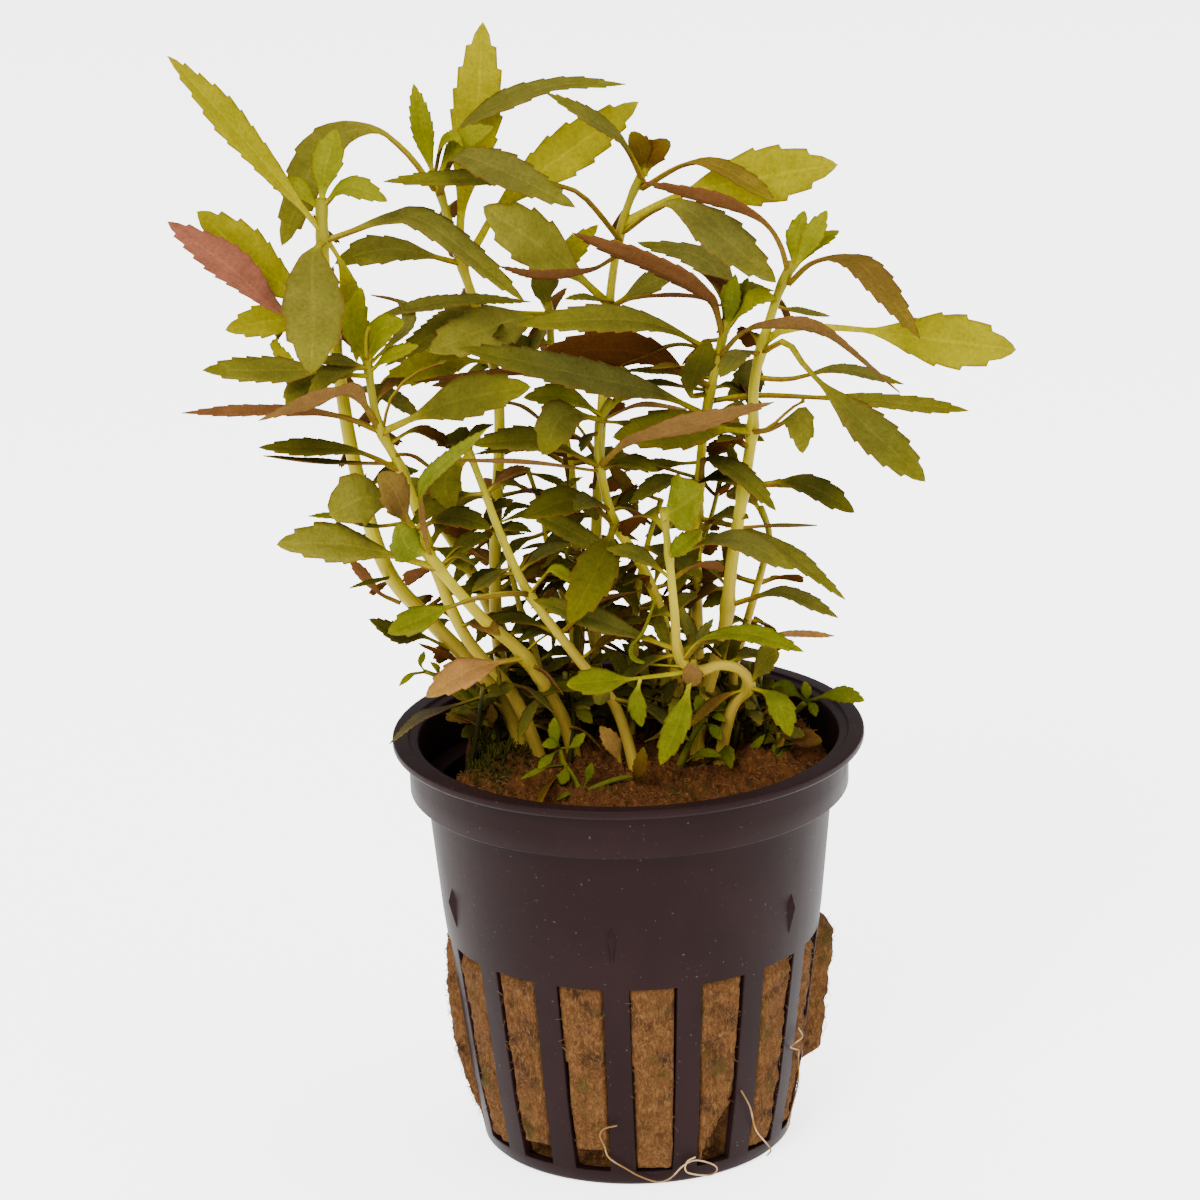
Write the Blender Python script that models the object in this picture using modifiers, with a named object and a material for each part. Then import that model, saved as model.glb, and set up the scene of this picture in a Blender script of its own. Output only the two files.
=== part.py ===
"""Potted Limnophila hippuridoides: a 55 mm net pot, its rockwool plug, thirteen stems and their leaves.

Lengths are written in millimetres and scaled to metres once, where meshes are made.
The origin is the centre of the pot's underside. +Z is up and -Y is the front.
"""
import bmesh
import bpy
from math import atan2, cos, degrees, exp, pi, radians, sin, tan
from mathutils import Matrix, Vector

MM = 0.001
GAP = 0.35

# Net pot
RIM_RADIUS = 27.5
RIM_HEIGHT = 50.0
LIP_THICKNESS = 1.0
COLLAR_RADIUS = 25.6
COLLAR_FOOT = 43.5
BODY_RADIUS = 23.7
BASE_RADIUS = 18.2
WALL = 1.1
BASE_THICKNESS = 1.4
ROUND_STEPS = 48
SLOT_COUNT = 16
SLOT_PITCH = 360.0 / SLOT_COUNT
RIB_WIDTH = 3.0
SLOT_BOTTOM = 1.9
SLOT_TOP = 26.0
FRONT_SLOT_ANGLE = -90.0 + 5.4
LUG_COUNT = 6
FRONT_LUG_ANGLE = -90.0 - 6.6
LUG_HEIGHTS = (28.0, 35.0)
LUG_WIDTH = 1.6
LUG_RELIEF = 0.6

# Rockwool plug
WOOL_TOP = 46.0
WOOL_TOP_RADIUS = 24.0
WOOL_LUMP = 0.7
WOOL_NOTCH = 4.5
SHOULDER = 34.0
SLOT_SIDE_GAP = 1.1
TONGUE_MIDDLE = 14.0
TONGUE_RECESS = 0.3
TONGUE_CROWN = 1.3
TONGUE_FLANK = 0.3
TONGUE_STEP = 0.05
SOCKET_RISE = 5.0

# Leaves and stems
STEM_SIDES_RESOLUTION = 2
STEM_FOOT = WOOL_TOP - 4.0
LEAF_STATIONS = 7
SMALL_LEAF_STATIONS = 5
LEAF_THICKNESS = 0.45
PETIOLE_HALF_WIDTH = 0.4
PETIOLE_THICKNESS = 0.6
TIP_HALF_WIDTH = 0.15
LEAF_FOLD = 0.18
FRONT = Vector((0.0, -cos(radians(18.7)), sin(radians(18.7))))

# Outer wall of the pot below its collar: radius and height, from the top down
BODY_WALL = ((BODY_RADIUS, COLLAR_FOOT - 0.3), (22.3, 29.0), (19.8, 9.5), (BASE_RADIUS, 0.6))

# Each stem: radius, the foot in the wool, and the places that it passes on its way up
STEMS = {
    "stem_a": (0.9, (-12.5, 5), [(-15.5, 4, 54), (-22.5, 2, 63), (-27.5, -1, 71), (-30.5, -3, 84),
                                 (-32, -4, 97), (-33, -5, 109), (-33, -5, 116)]),
    "stem_b": (0.7, (-13.5, 10), [(-15, 9, 58), (-15, 9, 69), (-14, 8, 86), (-15, 7, 95),
                                  (-17.5, 6, 104), (-20.5, 5, 116)]),
    "stem_c": (0.65, (-3.5, 12.5), [(-3.5, 12, 57), (-3, 11, 73), (-1, 10, 98), (1, 9, 109), (3.5, 9, 115)]),
    "stem_d": (0.75, (8, 1.5), [(9, 1, 53), (11.5, 1, 62), (12.5, 1, 70), (15, 1, 85), (15.5, 1, 92),
                                (18, 1, 101), (20, 1, 105.5)]),
    "stem_e": (0.65, (8.5, 7.5), [(8.5, 7, 54), (8.5, 7, 69), (9.5, 5, 84), (11.5, 4, 94), (12.5, 4, 98)]),
    "stem_f": (0.65, (5, 4.5), [(6, 4, 53), (4, 2, 64), (1.5, 0, 71), (-1, -1, 75.5), (-2.5, -3, 83),
                                (-2.5, -3, 88), (-1, -3, 91)]),
    "stem_g": (0.65, (10.5, -3), [(12, -4, 53.5), (14, -5, 56.5), (13, -6, 59), (10.5, -7, 60),
                                  (8, -8, 59.7), (6, -9, 62), (5.5, -11, 68.5), (5, -12, 75.5), (4.5, -13, 81)]),
    "stem_h": (0.8, (-6.5, 2.5), [(-8, 1, 52), (-12, -3, 60.5), (-16.5, -7, 66.5), (-21.5, -11, 74.5),
                                  (-24.5, -11, 79.5), (-25.5, -11, 82.5)]),
    "stem_i": (0.7, (-10.5, 1.5), [(-13.5, 1, 54.5), (-18.5, -2, 62.5), (-21.5, -4, 71), (-23, -5, 77),
                                   (-25, -6, 84), (-27.5, -7, 90), (-28.5, -8, 98)]),
    "stem_j": (0.65, (-7, 15.5), [(-5.5, 14, 56), (-5.5, 13, 67), (-6, 12.5, 78), (-7.5, 12, 88), (-8, 12, 98.5)]),
    "stem_k": (0.6, (0.5, -3), [(-1.5, -3, 54), (-5.5, -4, 60), (-11, -5, 68.5), (-14, -6, 76),
                                (-16, -7, 82.5), (-17.5, -7, 87)]),
    "stem_l": (0.55, (13, 6), [(12.5, 6, 54), (14, 6, 60), (16, 7, 66.5), (17, 7, 71), (16, 7, 74.5)]),
    "stem_n": (0.9, (-12, 14.5), [(-13.5, 13, 54.5), (-17.5, 13, 64.5), (-21.5, 11, 72.5)]),
}

# Each leaf: its stem, its width, the turn of its face from the front, and its midrib from stem to tip
LEAVES = {
    "leaf_a1": ("stem_a", 5.0, 50, [(-33, -5, 112), (-41.5, -8, 124), (-49, -12, 134.5)]),
    "leaf_a2": ("stem_a", 7.2, 0, [(-33, -5, 111), (-34, -11, 110.5), (-34, -14.5, 104.5), (-34.5, -15, 98.5)]),
    "leaf_a3": ("stem_a", 5.0, 55, [(-33, -5, 111), (-25.5, -4, 113), (-21, -5, 112.5), (-10.5, -9, 104.5)]),
    "leaf_a4": ("stem_a", 5.5, 15, [(-32, -4, 103), (-37.5, -7, 106.5), (-42, -10, 111.5), (-46.5, -13, 117)]),
    "leaf_a5": ("stem_a", 5.0, 145, [(-32, -4, 101.5), (-37.5, -8, 103.5), (-43, -13, 110.5), (-49.5, -17, 117)]),
    "leaf_b1": ("stem_b", 5.6, 15, [(-20.5, 5, 114), (-23.5, 4.5, 119.5), (-27.5, 3.5, 123), (-33, 2, 121),
                                    (-38, 1, 109.5)]),
    "leaf_b2": ("stem_b", 5.4, 5, [(-18, 6, 106), (-17.5, 7, 111.5), (-15.5, 8, 122), (-14.5, 9, 132.5)]),
    "leaf_b3": ("stem_b", 4.5, 60, [(-20, 5, 114.5), (-16.5, 5, 123), (-7.5, 6, 126.5), (1.5, 7, 125.5)]),
    "leaf_b4": ("stem_b", 4.6, 45, [(-20, 5, 113.5), (-18, 0, 119), (-14, -4, 119), (-4.5, -8, 115)]),
    "leaf_b6": ("stem_b", 5.2, 10, [(-17.5, 6, 104.5), (-16, 6.5, 107), (-11.5, 8.5, 112.5), (3, 12, 122)]),
    "leaf_b7": ("stem_c", 6.0, 15, [(-1, 10, 98.5), (-6.5, 6, 105), (-15, 1, 113)]),
    "leaf_b9": ("stem_b", 4.5, 45, [(-18, 6, 105), (-24, 3, 107.5), (-28, 1, 108), (-32, 0, 107)]),
    "leaf_c2": ("stem_c", 4.0, 65, [(3, 9, 112.5), (8, 6, 116), (12, 4, 116), (18, 0, 113)]),
    "leaf_c4": ("stem_c", 6.2, 10, [(1, 9, 108.5), (8, 8, 112), (17, 7, 114), (25.5, 6, 115.5)]),
    "leaf_c5": ("stem_c", 5.0, 30, [(1, 9, 107.5), (4.5, 5, 111), (8, 3, 111.5), (18, -2, 104)]),
    "leaf_c6": ("stem_c", 4.0, 65, [(0.5, 9, 106.5), (-2.5, 5.5, 111.5), (-5, 4, 114), (-12, 1.5, 116), (-26, -4, 117.5)]),
    "leaf_d1": ("stem_d", 6.4, 15, [(16.5, 1, 96), (19.5, 0, 98.5), (26.5, -2, 99), (36, -4, 98.5), (45, -5, 97)]),
    "leaf_d2": ("stem_d", 4.8, 50, [(19.5, 1, 103), (22, -3, 106.5), (25, -7, 108), (28, -11, 107.5), (33.5, -16, 101)]),
    "leaf_d3": ("stem_d", 4.0, 115, [(19.5, 1, 104), (18.5, 0, 108), (16.5, -1, 111), (12, -2, 113.5), (3, -5, 117)]),
    "leaf_d7": ("stem_d", 5.5, 20, [(16.5, 1, 95), (19, -4, 97.5), (22, -8, 94.5), (34, -15, 84)]),
    "leaf_d8": ("stem_e", 4.0, 60, [(10, 5, 88), (16, 5.5, 88.5), (27.5, 4, 88), (40, 2, 87)]),
    "leaf_e1": ("stem_e", 4.5, 120, [(11.5, 4, 93.5), (14, 0, 97.5), (17, -4, 99.5), (23, -7, 99.5), (31.5, -10, 93)]),
    "leaf_e2": ("stem_e", 4.5, 120, [(12, 4, 95.5), (11, 3, 100), (9.5, 1.5, 102), (5.5, 0, 105), (-5, -4, 111)]),
    "leaf_e3": ("stem_e", 4.5, 130, [(12, 4, 96), (12.5, 7, 98.5), (10.5, 11, 103), (2.5, 15, 104.5)]),
    "leaf_e4": ("stem_e", 4.5, 50, [(11.5, 4, 94), (2.5, -1, 99.5), (-11.5, -6, 101)]),
    "leaf_e5": ("stem_e", 5.0, 140, [(10.3, 5, 89.8), (7.5, 6, 91), (2.5, 6, 94), (-8.5, 6, 94.5)]),
    "leaf_e6": ("stem_e", 3.8, 20, [(10, 5, 88.8), (8, 1, 90.5), (10, -3.5, 98)]),
    "leaf_e9": ("stem_d", 5.2, 30, [(15, 1, 85.5), (8, -4, 87.5), (-1, -8, 88)]),
    "leaf_f1": ("stem_e", 5.0, 45, [(10, 5, 86.3), (4, -4, 92), (-3, -8, 95), (-10, -10, 97.5), (-18, -11.5, 100)]),
    "leaf_f4": ("stem_f", 4.2, 55, [(-2.5, -3, 83), (-9, -7.5, 87.5), (-17, -11, 88.5)]),
    "leaf_f6": ("stem_f", 4.2, 118, [(-2.5, -3, 83), (0.5, -9, 87.5), (5, -13, 90), (17, -19, 95)]),
    "leaf_f8": ("stem_f", 6.0, 5, [(-1, -1, 75.5), (-2.5, -9, 74), (-6.5, -13, 67.5)]),
    "leaf_f9": ("stem_f", 4.2, 50, [(-1, -1, 75.5), (-5, -4, 79.5), (-11.5, -9, 79)]),
    "leaf_h1": ("stem_h", 5.2, 40, [(-21.5, -11, 74), (-31, -14.5, 78), (-39, -18, 79.5)]),
    "leaf_h3": ("stem_h", 5.6, 10, [(-25, -11, 81), (-29, -14, 83.5), (-33, -17, 82.5)]),
    "leaf_h6": ("stem_h", 3.0, 60, [(-22, -11, 75), (-22.5, -16, 81.5), (-22, -18, 86.5), (-15, -18, 92.5)]),
    "leaf_h7": ("stem_h", 4.0, 40, [(-12, -3, 60), (-14.5, -7, 61), (-18, -11, 61.5), (-23, -14, 59.5)]),
    "leaf_i1": ("stem_i", 4.0, 40, [(-28.5, -8, 97), (-37, -12, 98), (-46.5, -16, 99.5)]),
    "leaf_i5": ("stem_i", 4.2, 120, [(-27.5, -7, 89.5), (-30, -11, 95), (-33, -13, 95), (-40.5, -16, 93.5)]),
    "leaf_i6": ("stem_i", 3.4, 112, [(-27, -7, 89), (-33.5, -7.5, 91.5), (-49.5, -9, 92.5)]),
    "leaf_i7": ("stem_i", 3.6, 60, [(-25, -6, 84), (-30.5, -9, 87.5), (-41, -10, 88.5)]),
    "leaf_j1": ("stem_j", 5.2, 30, [(-8, 12, 96.5), (-12.5, 4, 98.5), (-21.5, -6, 98)]),
    "leaf_i4": ("stem_i", 5.2, 30, [(-27, -7, 89), (-19, -11, 93.5), (-10, -14, 96)]),
    "leaf_k1": ("stem_k", 3.6, 120, [(-11, -5, 68.5), (-13.5, -9, 70), (-18, -12.5, 70.5), (-27, -16, 68)]),
    "leaf_old": ("stem_a", 3.6, 30, [(-15, 4, 53.5), (-20.5, -2, 54), (-24, -7, 54.5), (-27.5, -10, 52.5)]),
}

# Small leaves grown in one with their stem: stem, width, turn of the face, midrib from the stem to the tip
SMALL_LEAVES = [
    ("stem_a", 3.4, 10, [(-33, -5, 115), (-32.5, -5, 119), (-31, -5, 124)]),
    ("stem_a", 3.0, 40, [(-33, -5, 115), (-30, -6, 117.5), (-25.5, -7, 116)]),
    ("stem_a", 3.0, 40, [(-33, -5, 114.5), (-36, -4, 117), (-38.5, -3, 117)]),
    ("stem_a", 4.0, 30, [(-32, -4, 99.5), (-37.5, -2.5, 101.2), (-44.5, -4.5, 100.8)]),
    ("stem_b", 2.4, 10, [(-20.5, 5, 115), (-21.5, 5, 120), (-22.5, 5, 126.5)]),
    ("stem_b", 2.8, 30, [(-20.5, 5, 115), (-17.5, 2, 120), (-13.5, 0, 122.5)]),
    ("stem_c", 2.8, 20, [(3.5, 9, 114), (3, 8.5, 117), (2, 8, 119.5)]),
    ("stem_c", 2.8, 20, [(3.5, 9, 114), (4.5, 9, 116.5), (6.5, 9, 118)]),
    ("stem_c", 3.0, 60, [(3.5, 9, 113), (1.5, 6, 118), (-1, 4, 121), (-7.5, 1, 126)]),
    ("stem_c", 4.0, 50, [(-1, 10, 98), (3, 8, 101), (7, 7, 103)]),
    ("stem_d", 2.4, 20, [(20, 1, 104.5), (22, 1, 108), (24, 1, 111.5)]),
    ("stem_d", 2.4, 20, [(20, 1, 104.5), (20.5, 2, 108), (21.5, 3, 111)]),
    ("stem_d", 2.6, 40, [(20, 1, 104.5), (22.5, 3, 107), (25.5, 5, 108)]),
    ("stem_d", 4.0, 50, [(14.5, 1, 79), (20.5, -2, 80), (26.5, -4, 77)]),
    ("stem_d", 3.0, 60, [(12, 1, 64.5), (16, 0, 66), (19, -1, 66.3), (24.5, -3, 64)]),
    ("stem_e", 2.4, 20, [(12.5, 4, 97), (12.8, 4, 100), (13.5, 4, 103)]),
    ("stem_e", 3.4, 60, [(9.1, 5.8, 78), (10, 2.5, 82), (14, -2.5, 81), (17.5, -4, 77.5)]),
    ("stem_e", 3.4, 60, [(8.8, 6.4, 73.5), (16, 3.5, 72), (25.5, 0.5, 65)]),
    ("stem_f", 2.6, 20, [(-1, -3, 90), (0, -3, 91.5), (2, -4, 94)]),
    ("stem_f", 3.0, 40, [(-2, -3, 89), (-6, -5, 92), (-11, -6.5, 92.5)]),
    ("stem_f", 4.4, 10, [(-2, -3, 88.5), (-6.5, -9, 91), (-9, -14, 88)]),
    ("stem_g", 5.0, 20, [(4.5, -13, 80), (6.5, -17, 82.5), (9, -21, 85.5)]),
    ("stem_g", 3.4, 45, [(5, -12, 75), (12, -15.5, 78), (19, -18, 75)]),
    ("stem_g", 3.4, 40, [(6, -9, 62.5), (-3, -9.5, 66.5), (-10.5, -10, 69.5)]),
    ("stem_g", 3.0, 55, [(6.5, -9, 61.5), (9, -12, 65), (14, -14, 66), (20, -16, 64.5)]),
    ("stem_g", 3.2, 30, [(7.5, -8, 59.7), (6, -12, 55.5), (3.5, -14, 50.5)]),
    ("stem_g", 3.4, 30, [(8, -8, 59.7), (1, -9.5, 59.5), (-7, -11, 59.5)]),
    ("stem_g", 3.0, 30, [(14, -5, 56.5), (16, -7, 60.5), (17.5, -9, 62)]),
    ("stem_g", 3.0, 30, [(14, -5, 56.5), (17, -8, 56), (18.5, -11, 52.5)]),
    ("stem_h", 3.0, 30, [(-25, -11, 81), (-26, -13, 85), (-27, -15, 86.5)]),
    ("stem_h", 3.4, 50, [(-24, -11, 78.5), (-19.5, -12.5, 80.5), (-15, -14, 79.5)]),
    ("stem_i", 3.4, 30, [(-28.5, -8, 97), (-27, -8, 101), (-24, -9, 102.5)]),
    ("stem_i", 3.4, 30, [(-28.5, -8, 97), (-30, -5, 101), (-29, -3, 105)]),
    ("stem_j", 3.2, 20, [(-8, 12, 97.5), (-8.5, 12, 100), (-8, 12, 103)]),
    ("stem_k", 3.4, 30, [(-17.5, -7, 86), (-18.5, -4, 87), (-21, -1, 86)]),
    ("stem_l", 2.6, 30, [(16, 7, 74), (14.5, 7, 76), (12, 7, 76)]),
    ("stem_n", 3.0, 30, [(-21.5, 11, 72), (-23.5, 11, 76), (-26.5, 11, 77)]),
]


def clear_scene():
    for obj in list(bpy.data.objects):
        bpy.data.objects.remove(obj, do_unlink=True)


def new_collection(name):
    collection = bpy.data.collections.new(name)
    bpy.context.scene.collection.children.link(collection)
    return collection


def material(name, colour, roughness, metallic=0.0):
    mat = bpy.data.materials.new(name)
    mat.use_nodes = True
    shader = mat.node_tree.nodes["Principled BSDF"]
    shader.inputs["Base Color"].default_value = (*colour, 1.0)
    shader.inputs["Roughness"].default_value = roughness
    shader.inputs["Metallic"].default_value = metallic
    return mat


def object_from_bmesh(name, mesh_data, collection, mat):
    """Scales the millimetre mesh to metres and puts it in the scene under its name."""
    bmesh.ops.recalc_face_normals(mesh_data, faces=mesh_data.faces)
    bmesh.ops.transform(mesh_data, matrix=Matrix.Scale(MM, 4), verts=mesh_data.verts)
    mesh = bpy.data.meshes.new(name)
    mesh_data.to_mesh(mesh)
    mesh_data.free()
    mesh.materials.append(mat)
    obj = bpy.data.objects.new(name, mesh)
    collection.objects.link(obj)
    return obj


def mark_as_cutter(obj):
    obj.hide_render = True
    obj.display_type = "WIRE"


def boolean(obj, other, operation):
    """Joins or cuts one solid with another that stays hidden."""
    mark_as_cutter(other)
    modifier = obj.modifiers.new(other.name, "BOOLEAN")
    modifier.operation = operation
    modifier.object = other
    modifier.solver = "EXACT"


def wall_radius(height):
    """Outer radius of the pot's tapered body at a height."""
    for (upper_r, upper_z), (lower_r, lower_z) in zip(BODY_WALL, BODY_WALL[1:]):
        if height >= lower_z:
            share = min(1.0, (height - lower_z) / (upper_z - lower_z))
            return lower_r + (upper_r - lower_r) * share
    return BASE_RADIUS


def smooth_route(points, samples):
    """Evenly spaced points on a smooth curve through the given places."""
    places = [Vector(p) for p in points]
    places = [2 * places[0] - places[1]] + places + [2 * places[-1] - places[-2]]
    dense = []
    for a, b, c, d in zip(places, places[1:], places[2:], places[3:]):
        for step in range(16):
            t = step / 16
            dense.append(0.5 * (2 * b + (c - a) * t + (2 * a - 5 * b + 4 * c - d) * t ** 2
                                + (3 * b - a - 3 * c + d) * t ** 3))
    dense.append(places[-2])
    lengths = [0.0]
    for here, after in zip(dense, dense[1:]):
        lengths.append(lengths[-1] + (after - here).length)
    route = []
    index = 0
    for sample in range(samples):
        wanted = lengths[-1] * sample / (samples - 1)
        while index < len(dense) - 2 and lengths[index + 1] < wanted:
            index += 1
        span = lengths[index + 1] - lengths[index]
        route.append(dense[index].lerp(dense[index + 1], (wanted - lengths[index]) / span))
    return route


def slot_half_angle(height):
    """Half the slot's angle at a height, where the ribs between the slots keep one width."""
    return SLOT_PITCH / 2 - degrees(RIB_WIDTH / 2 / wall_radius(height))


def wedge_cutter(bm, angle):
    """A slot's wedge between two planes through the pot's axis."""
    made = bmesh.ops.create_cube(bm, size=2.0)
    for vert in made["verts"]:
        radius = 21.0 + 6.0 * vert.co.x
        height = SLOT_TOP if vert.co.z > 0 else SLOT_BOTTOM
        across = radius * tan(radians(slot_half_angle(height))) * vert.co.y
        vert.co = (radius, across, height)
    bmesh.ops.rotate(bm, verts=made["verts"], cent=(0, 0, 0), matrix=Matrix.Rotation(radians(angle), 3, "Z"))


def lug(bm, angle):
    """A slender pointed rib on the wall above the slots."""
    low, high = LUG_HEIGHTS
    middle = low + 0.65 * (high - low)
    made = bmesh.ops.create_cube(bm, size=2.0)
    bmesh.ops.delete(bm, geom=made["verts"], context="VERTS")
    corners = [(low, 0.0), (middle, -LUG_WIDTH / 2), (high, 0.0), (middle, LUG_WIDTH / 2)]
    inner = [bm.verts.new((wall_radius(z) - 0.4, y, z)) for z, y in corners]
    outer = bm.verts.new((wall_radius(middle) + LUG_RELIEF, 0.0, middle))
    bm.faces.new(inner)
    for first, second in zip(inner, inner[1:] + inner[:1]):
        bm.faces.new((first, second, outer))
    bmesh.ops.rotate(bm, verts=inner + [outer], cent=(0, 0, 0), matrix=Matrix.Rotation(radians(angle), 3, "Z"))


def build_pot(parts, cutters, mat):
    """A turned wall with lip, collar and step, cut by the ring of slots."""
    step = COLLAR_RADIUS - WALL
    profile = [(0.0, BASE_THICKNESS), (wall_radius(BASE_THICKNESS) - WALL, BASE_THICKNESS)]
    profile += [(radius - WALL, height) for radius, height in reversed(BODY_WALL[:-1])]
    profile += [(step, COLLAR_FOOT), (step, RIM_HEIGHT), (RIM_RADIUS, RIM_HEIGHT),
                (RIM_RADIUS, RIM_HEIGHT - LIP_THICKNESS), (COLLAR_RADIUS, RIM_HEIGHT - LIP_THICKNESS - 0.2),
                (COLLAR_RADIUS, COLLAR_FOOT)]
    profile += list(BODY_WALL) + [(BASE_RADIUS - 0.5, 0.0), (0.0, 0.0)]
    mesh = bpy.data.meshes.new("pot")
    verts = [(radius * MM, 0.0, height * MM) for radius, height in profile]
    mesh.from_pydata(verts, [(i, i + 1) for i in range(len(verts) - 1)], [])
    mesh.materials.append(mat)
    pot = bpy.data.objects.new("pot", mesh)
    parts.objects.link(pot)
    screw = pot.modifiers.new("turn", "SCREW")
    screw.steps = ROUND_STEPS
    screw.render_steps = ROUND_STEPS
    screw.use_merge_vertices = True
    screw.merge_threshold = 0.00001
    bm = bmesh.new()
    for index in range(LUG_COUNT):
        lug(bm, FRONT_LUG_ANGLE + index * 360.0 / LUG_COUNT)
    boolean(pot, object_from_bmesh("pot_lugs", bm, cutters, mat), "UNION")
    bm = bmesh.new()
    for index in range(SLOT_COUNT):
        wedge_cutter(bm, FRONT_SLOT_ANGLE + index * SLOT_PITCH)
    boolean(pot, object_from_bmesh("pot_slots", bm, cutters, mat), "DIFFERENCE")


def wool_bulge(index):
    """How far the wool stands out of the wall in each slot, counted from the front one to the right."""
    return {0: 0.4, 4: 2.8, 8: 0.9, 12: 1.5}.get(index, 0.0)


def wool_surface(x, y):
    """Height of the lumpy top of the wool."""
    return WOOL_TOP + WOOL_LUMP * (sin(x * 0.45 + 0.8) * cos(y * 0.38) + 0.6 * sin(x * 0.9 - y * 0.7 + 2.0))


def wool_edge(angle):
    """Radius of the plug's top edge, which leaves a dark gap to the wall at the left."""
    from_left = (degrees(angle) % 360.0 - 175.0) / 26.0
    return WOOL_TOP_RADIUS - WOOL_NOTCH * exp(-from_left ** 2)


def wool_side(index, offset, height, in_slot):
    """Place on the plug's side: a slot, 0 in its middle to 1 at the tongue's edge and 2 past it, and a height."""
    reach = slot_half_angle(min(max(height, SLOT_BOTTOM), SLOT_TOP)) - SLOT_SIDE_GAP
    across = offset * reach if abs(offset) <= 1 else offset / 2 * (reach + TONGUE_FLANK)
    angle = radians(FRONT_SLOT_ANGLE + index * SLOT_PITCH + across)
    radius = wall_radius(height) - WALL - GAP
    if in_slot and abs(offset) <= 1:
        middle = sin(pi * (height - SLOT_BOTTOM) / (SLOT_TOP - SLOT_BOTTOM))
        crown = TONGUE_CROWN if offset == 0 else 1.0
        radius = wall_radius(height) - TONGUE_RECESS + wool_bulge(index) * middle * crown
    return radius * cos(angle), radius * sin(angle), height


def wool_ring(bm, angles, share, height=None, widest=WOOL_TOP_RADIUS):
    """One ring of the plug's top, at a share of its edge, on the lumpy surface where no height is given."""
    ring = []
    for angle in angles:
        radius = min(widest, wool_edge(angle) * share)
        x, y = radius * cos(angle), radius * sin(angle)
        ring.append(bm.verts.new((x, y, wool_surface(x, y) if height is None else height)))
    return ring


def build_wool(parts, cutters, mat):
    """A plug that fills the pot, with a tongue of wool in every slot and a socket for every stem."""
    columns = []
    for index in range(SLOT_COUNT):
        columns += [(index, offset) for offset in (-2, -1, 0, 1, 2) if offset or wool_bulge(index)]
    tongue_foot, tongue_top = SLOT_BOTTOM + GAP, SLOT_TOP - GAP
    rows = [(BASE_THICKNESS + GAP, False), (tongue_foot - TONGUE_STEP, False), (tongue_foot, True),
            (TONGUE_MIDDLE, True), (tongue_top, True), (tongue_top + TONGUE_STEP, False), (SHOULDER, False)]
    bm = bmesh.new()
    rings = [[bm.verts.new(wool_side(index, offset, height, in_slot)) for index, offset in columns]
             for height, in_slot in rows]
    angles = [atan2(vert.co.y, vert.co.x) for vert in rings[-1]]
    rings.append(wool_ring(bm, angles, 1.0, COLLAR_FOOT, BODY_RADIUS - WALL - GAP))
    rings.append(wool_ring(bm, angles, 1.0, COLLAR_FOOT + 0.6))
    rings.append(wool_ring(bm, angles, 0.98, WOOL_TOP - 1.2))
    rings.append(wool_ring(bm, angles, 0.9))
    rings.append(wool_ring(bm, angles, 0.5))
    for lower, upper in zip(rings, rings[1:]):
        for i in range(len(columns)):
            j = (i + 1) % len(columns)
            bm.faces.new((lower[i], lower[j], upper[j], upper[i]))
    bm.faces.new(list(reversed(rings[0])))
    centre = bm.verts.new((0.0, 0.0, wool_surface(0.0, 0.0)))
    for i in range(len(columns)):
        bm.faces.new((rings[-1][i], rings[-1][(i + 1) % len(columns)], centre))
    bmesh.ops.triangulate(bm, faces=bm.faces)
    wool = object_from_bmesh("rockwool", bm, parts, mat)
    sockets = bmesh.new()
    for radius, (x, y), _ in STEMS.values():
        low = STEM_FOOT - GAP
        high = WOOL_TOP + SOCKET_RISE
        wide = radius + GAP + 0.05
        bmesh.ops.create_cone(sockets, cap_ends=True, segments=8, radius1=wide, radius2=wide,
                              depth=high - low, matrix=Matrix.Translation((x, y, (low + high) / 2)))
    boolean(wool, object_from_bmesh("wool_sockets", sockets, cutters, mat), "DIFFERENCE")


def stem_route(name):
    """The stem's centre line from the bottom of its socket to its top."""
    _, (x, y), places = STEMS[name]
    return [(x, y, STEM_FOOT), (x, y, WOOL_TOP + 0.5)] + places


def build_stem(name, collection, mat):
    """A round stem with closed ends, turned into a mesh so that its small leaves can be joined to it."""
    radius = STEMS[name][0]
    places = stem_route(name)
    foot, collar = Vector(places[0]), Vector(places[1])
    points = [foot] + smooth_route([collar] + places[2:], len(places) + 2)
    curve = bpy.data.curves.new(name, "CURVE")
    curve.dimensions = "3D"
    curve.bevel_depth = radius * MM
    curve.bevel_resolution = STEM_SIDES_RESOLUTION
    curve.use_fill_caps = True
    spline = curve.splines.new("POLY")
    spline.points.add(len(points) - 1)
    for point, place in zip(spline.points, points):
        point.co = (*(place * MM), 1.0)
    guide = bpy.data.objects.new(name + "_guide", curve)
    collection.objects.link(guide)
    evaluated = guide.evaluated_get(bpy.context.evaluated_depsgraph_get())
    mesh = bpy.data.meshes.new_from_object(evaluated)
    mesh.name = name
    bm = bmesh.new()
    bm.from_mesh(mesh)
    bmesh.ops.remove_doubles(bm, verts=bm.verts, dist=0.00001)
    bmesh.ops.recalc_face_normals(bm, faces=bm.faces)
    bm.to_mesh(mesh)
    bm.free()
    mesh.materials.clear()
    mesh.materials.append(mat)
    stem = bpy.data.objects.new(name, mesh)
    stem.matrix_world = guide.matrix_world
    collection.objects.link(stem)
    bpy.data.objects.remove(guide, do_unlink=True)
    return stem


def distance_to_stem(place, name):
    """Distance from a place to the stem's centre line."""
    route = smooth_route(stem_route(name), 60)
    return min((place - point).length for point in route)


def leaf_outline(share):
    """Half-width of a lance-shaped blade on a narrow stalk, as a share of its widest half."""
    return sin(pi * share ** 1.25) ** 1.1 if 0.0 < share < 1.0 else 0.0


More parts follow.
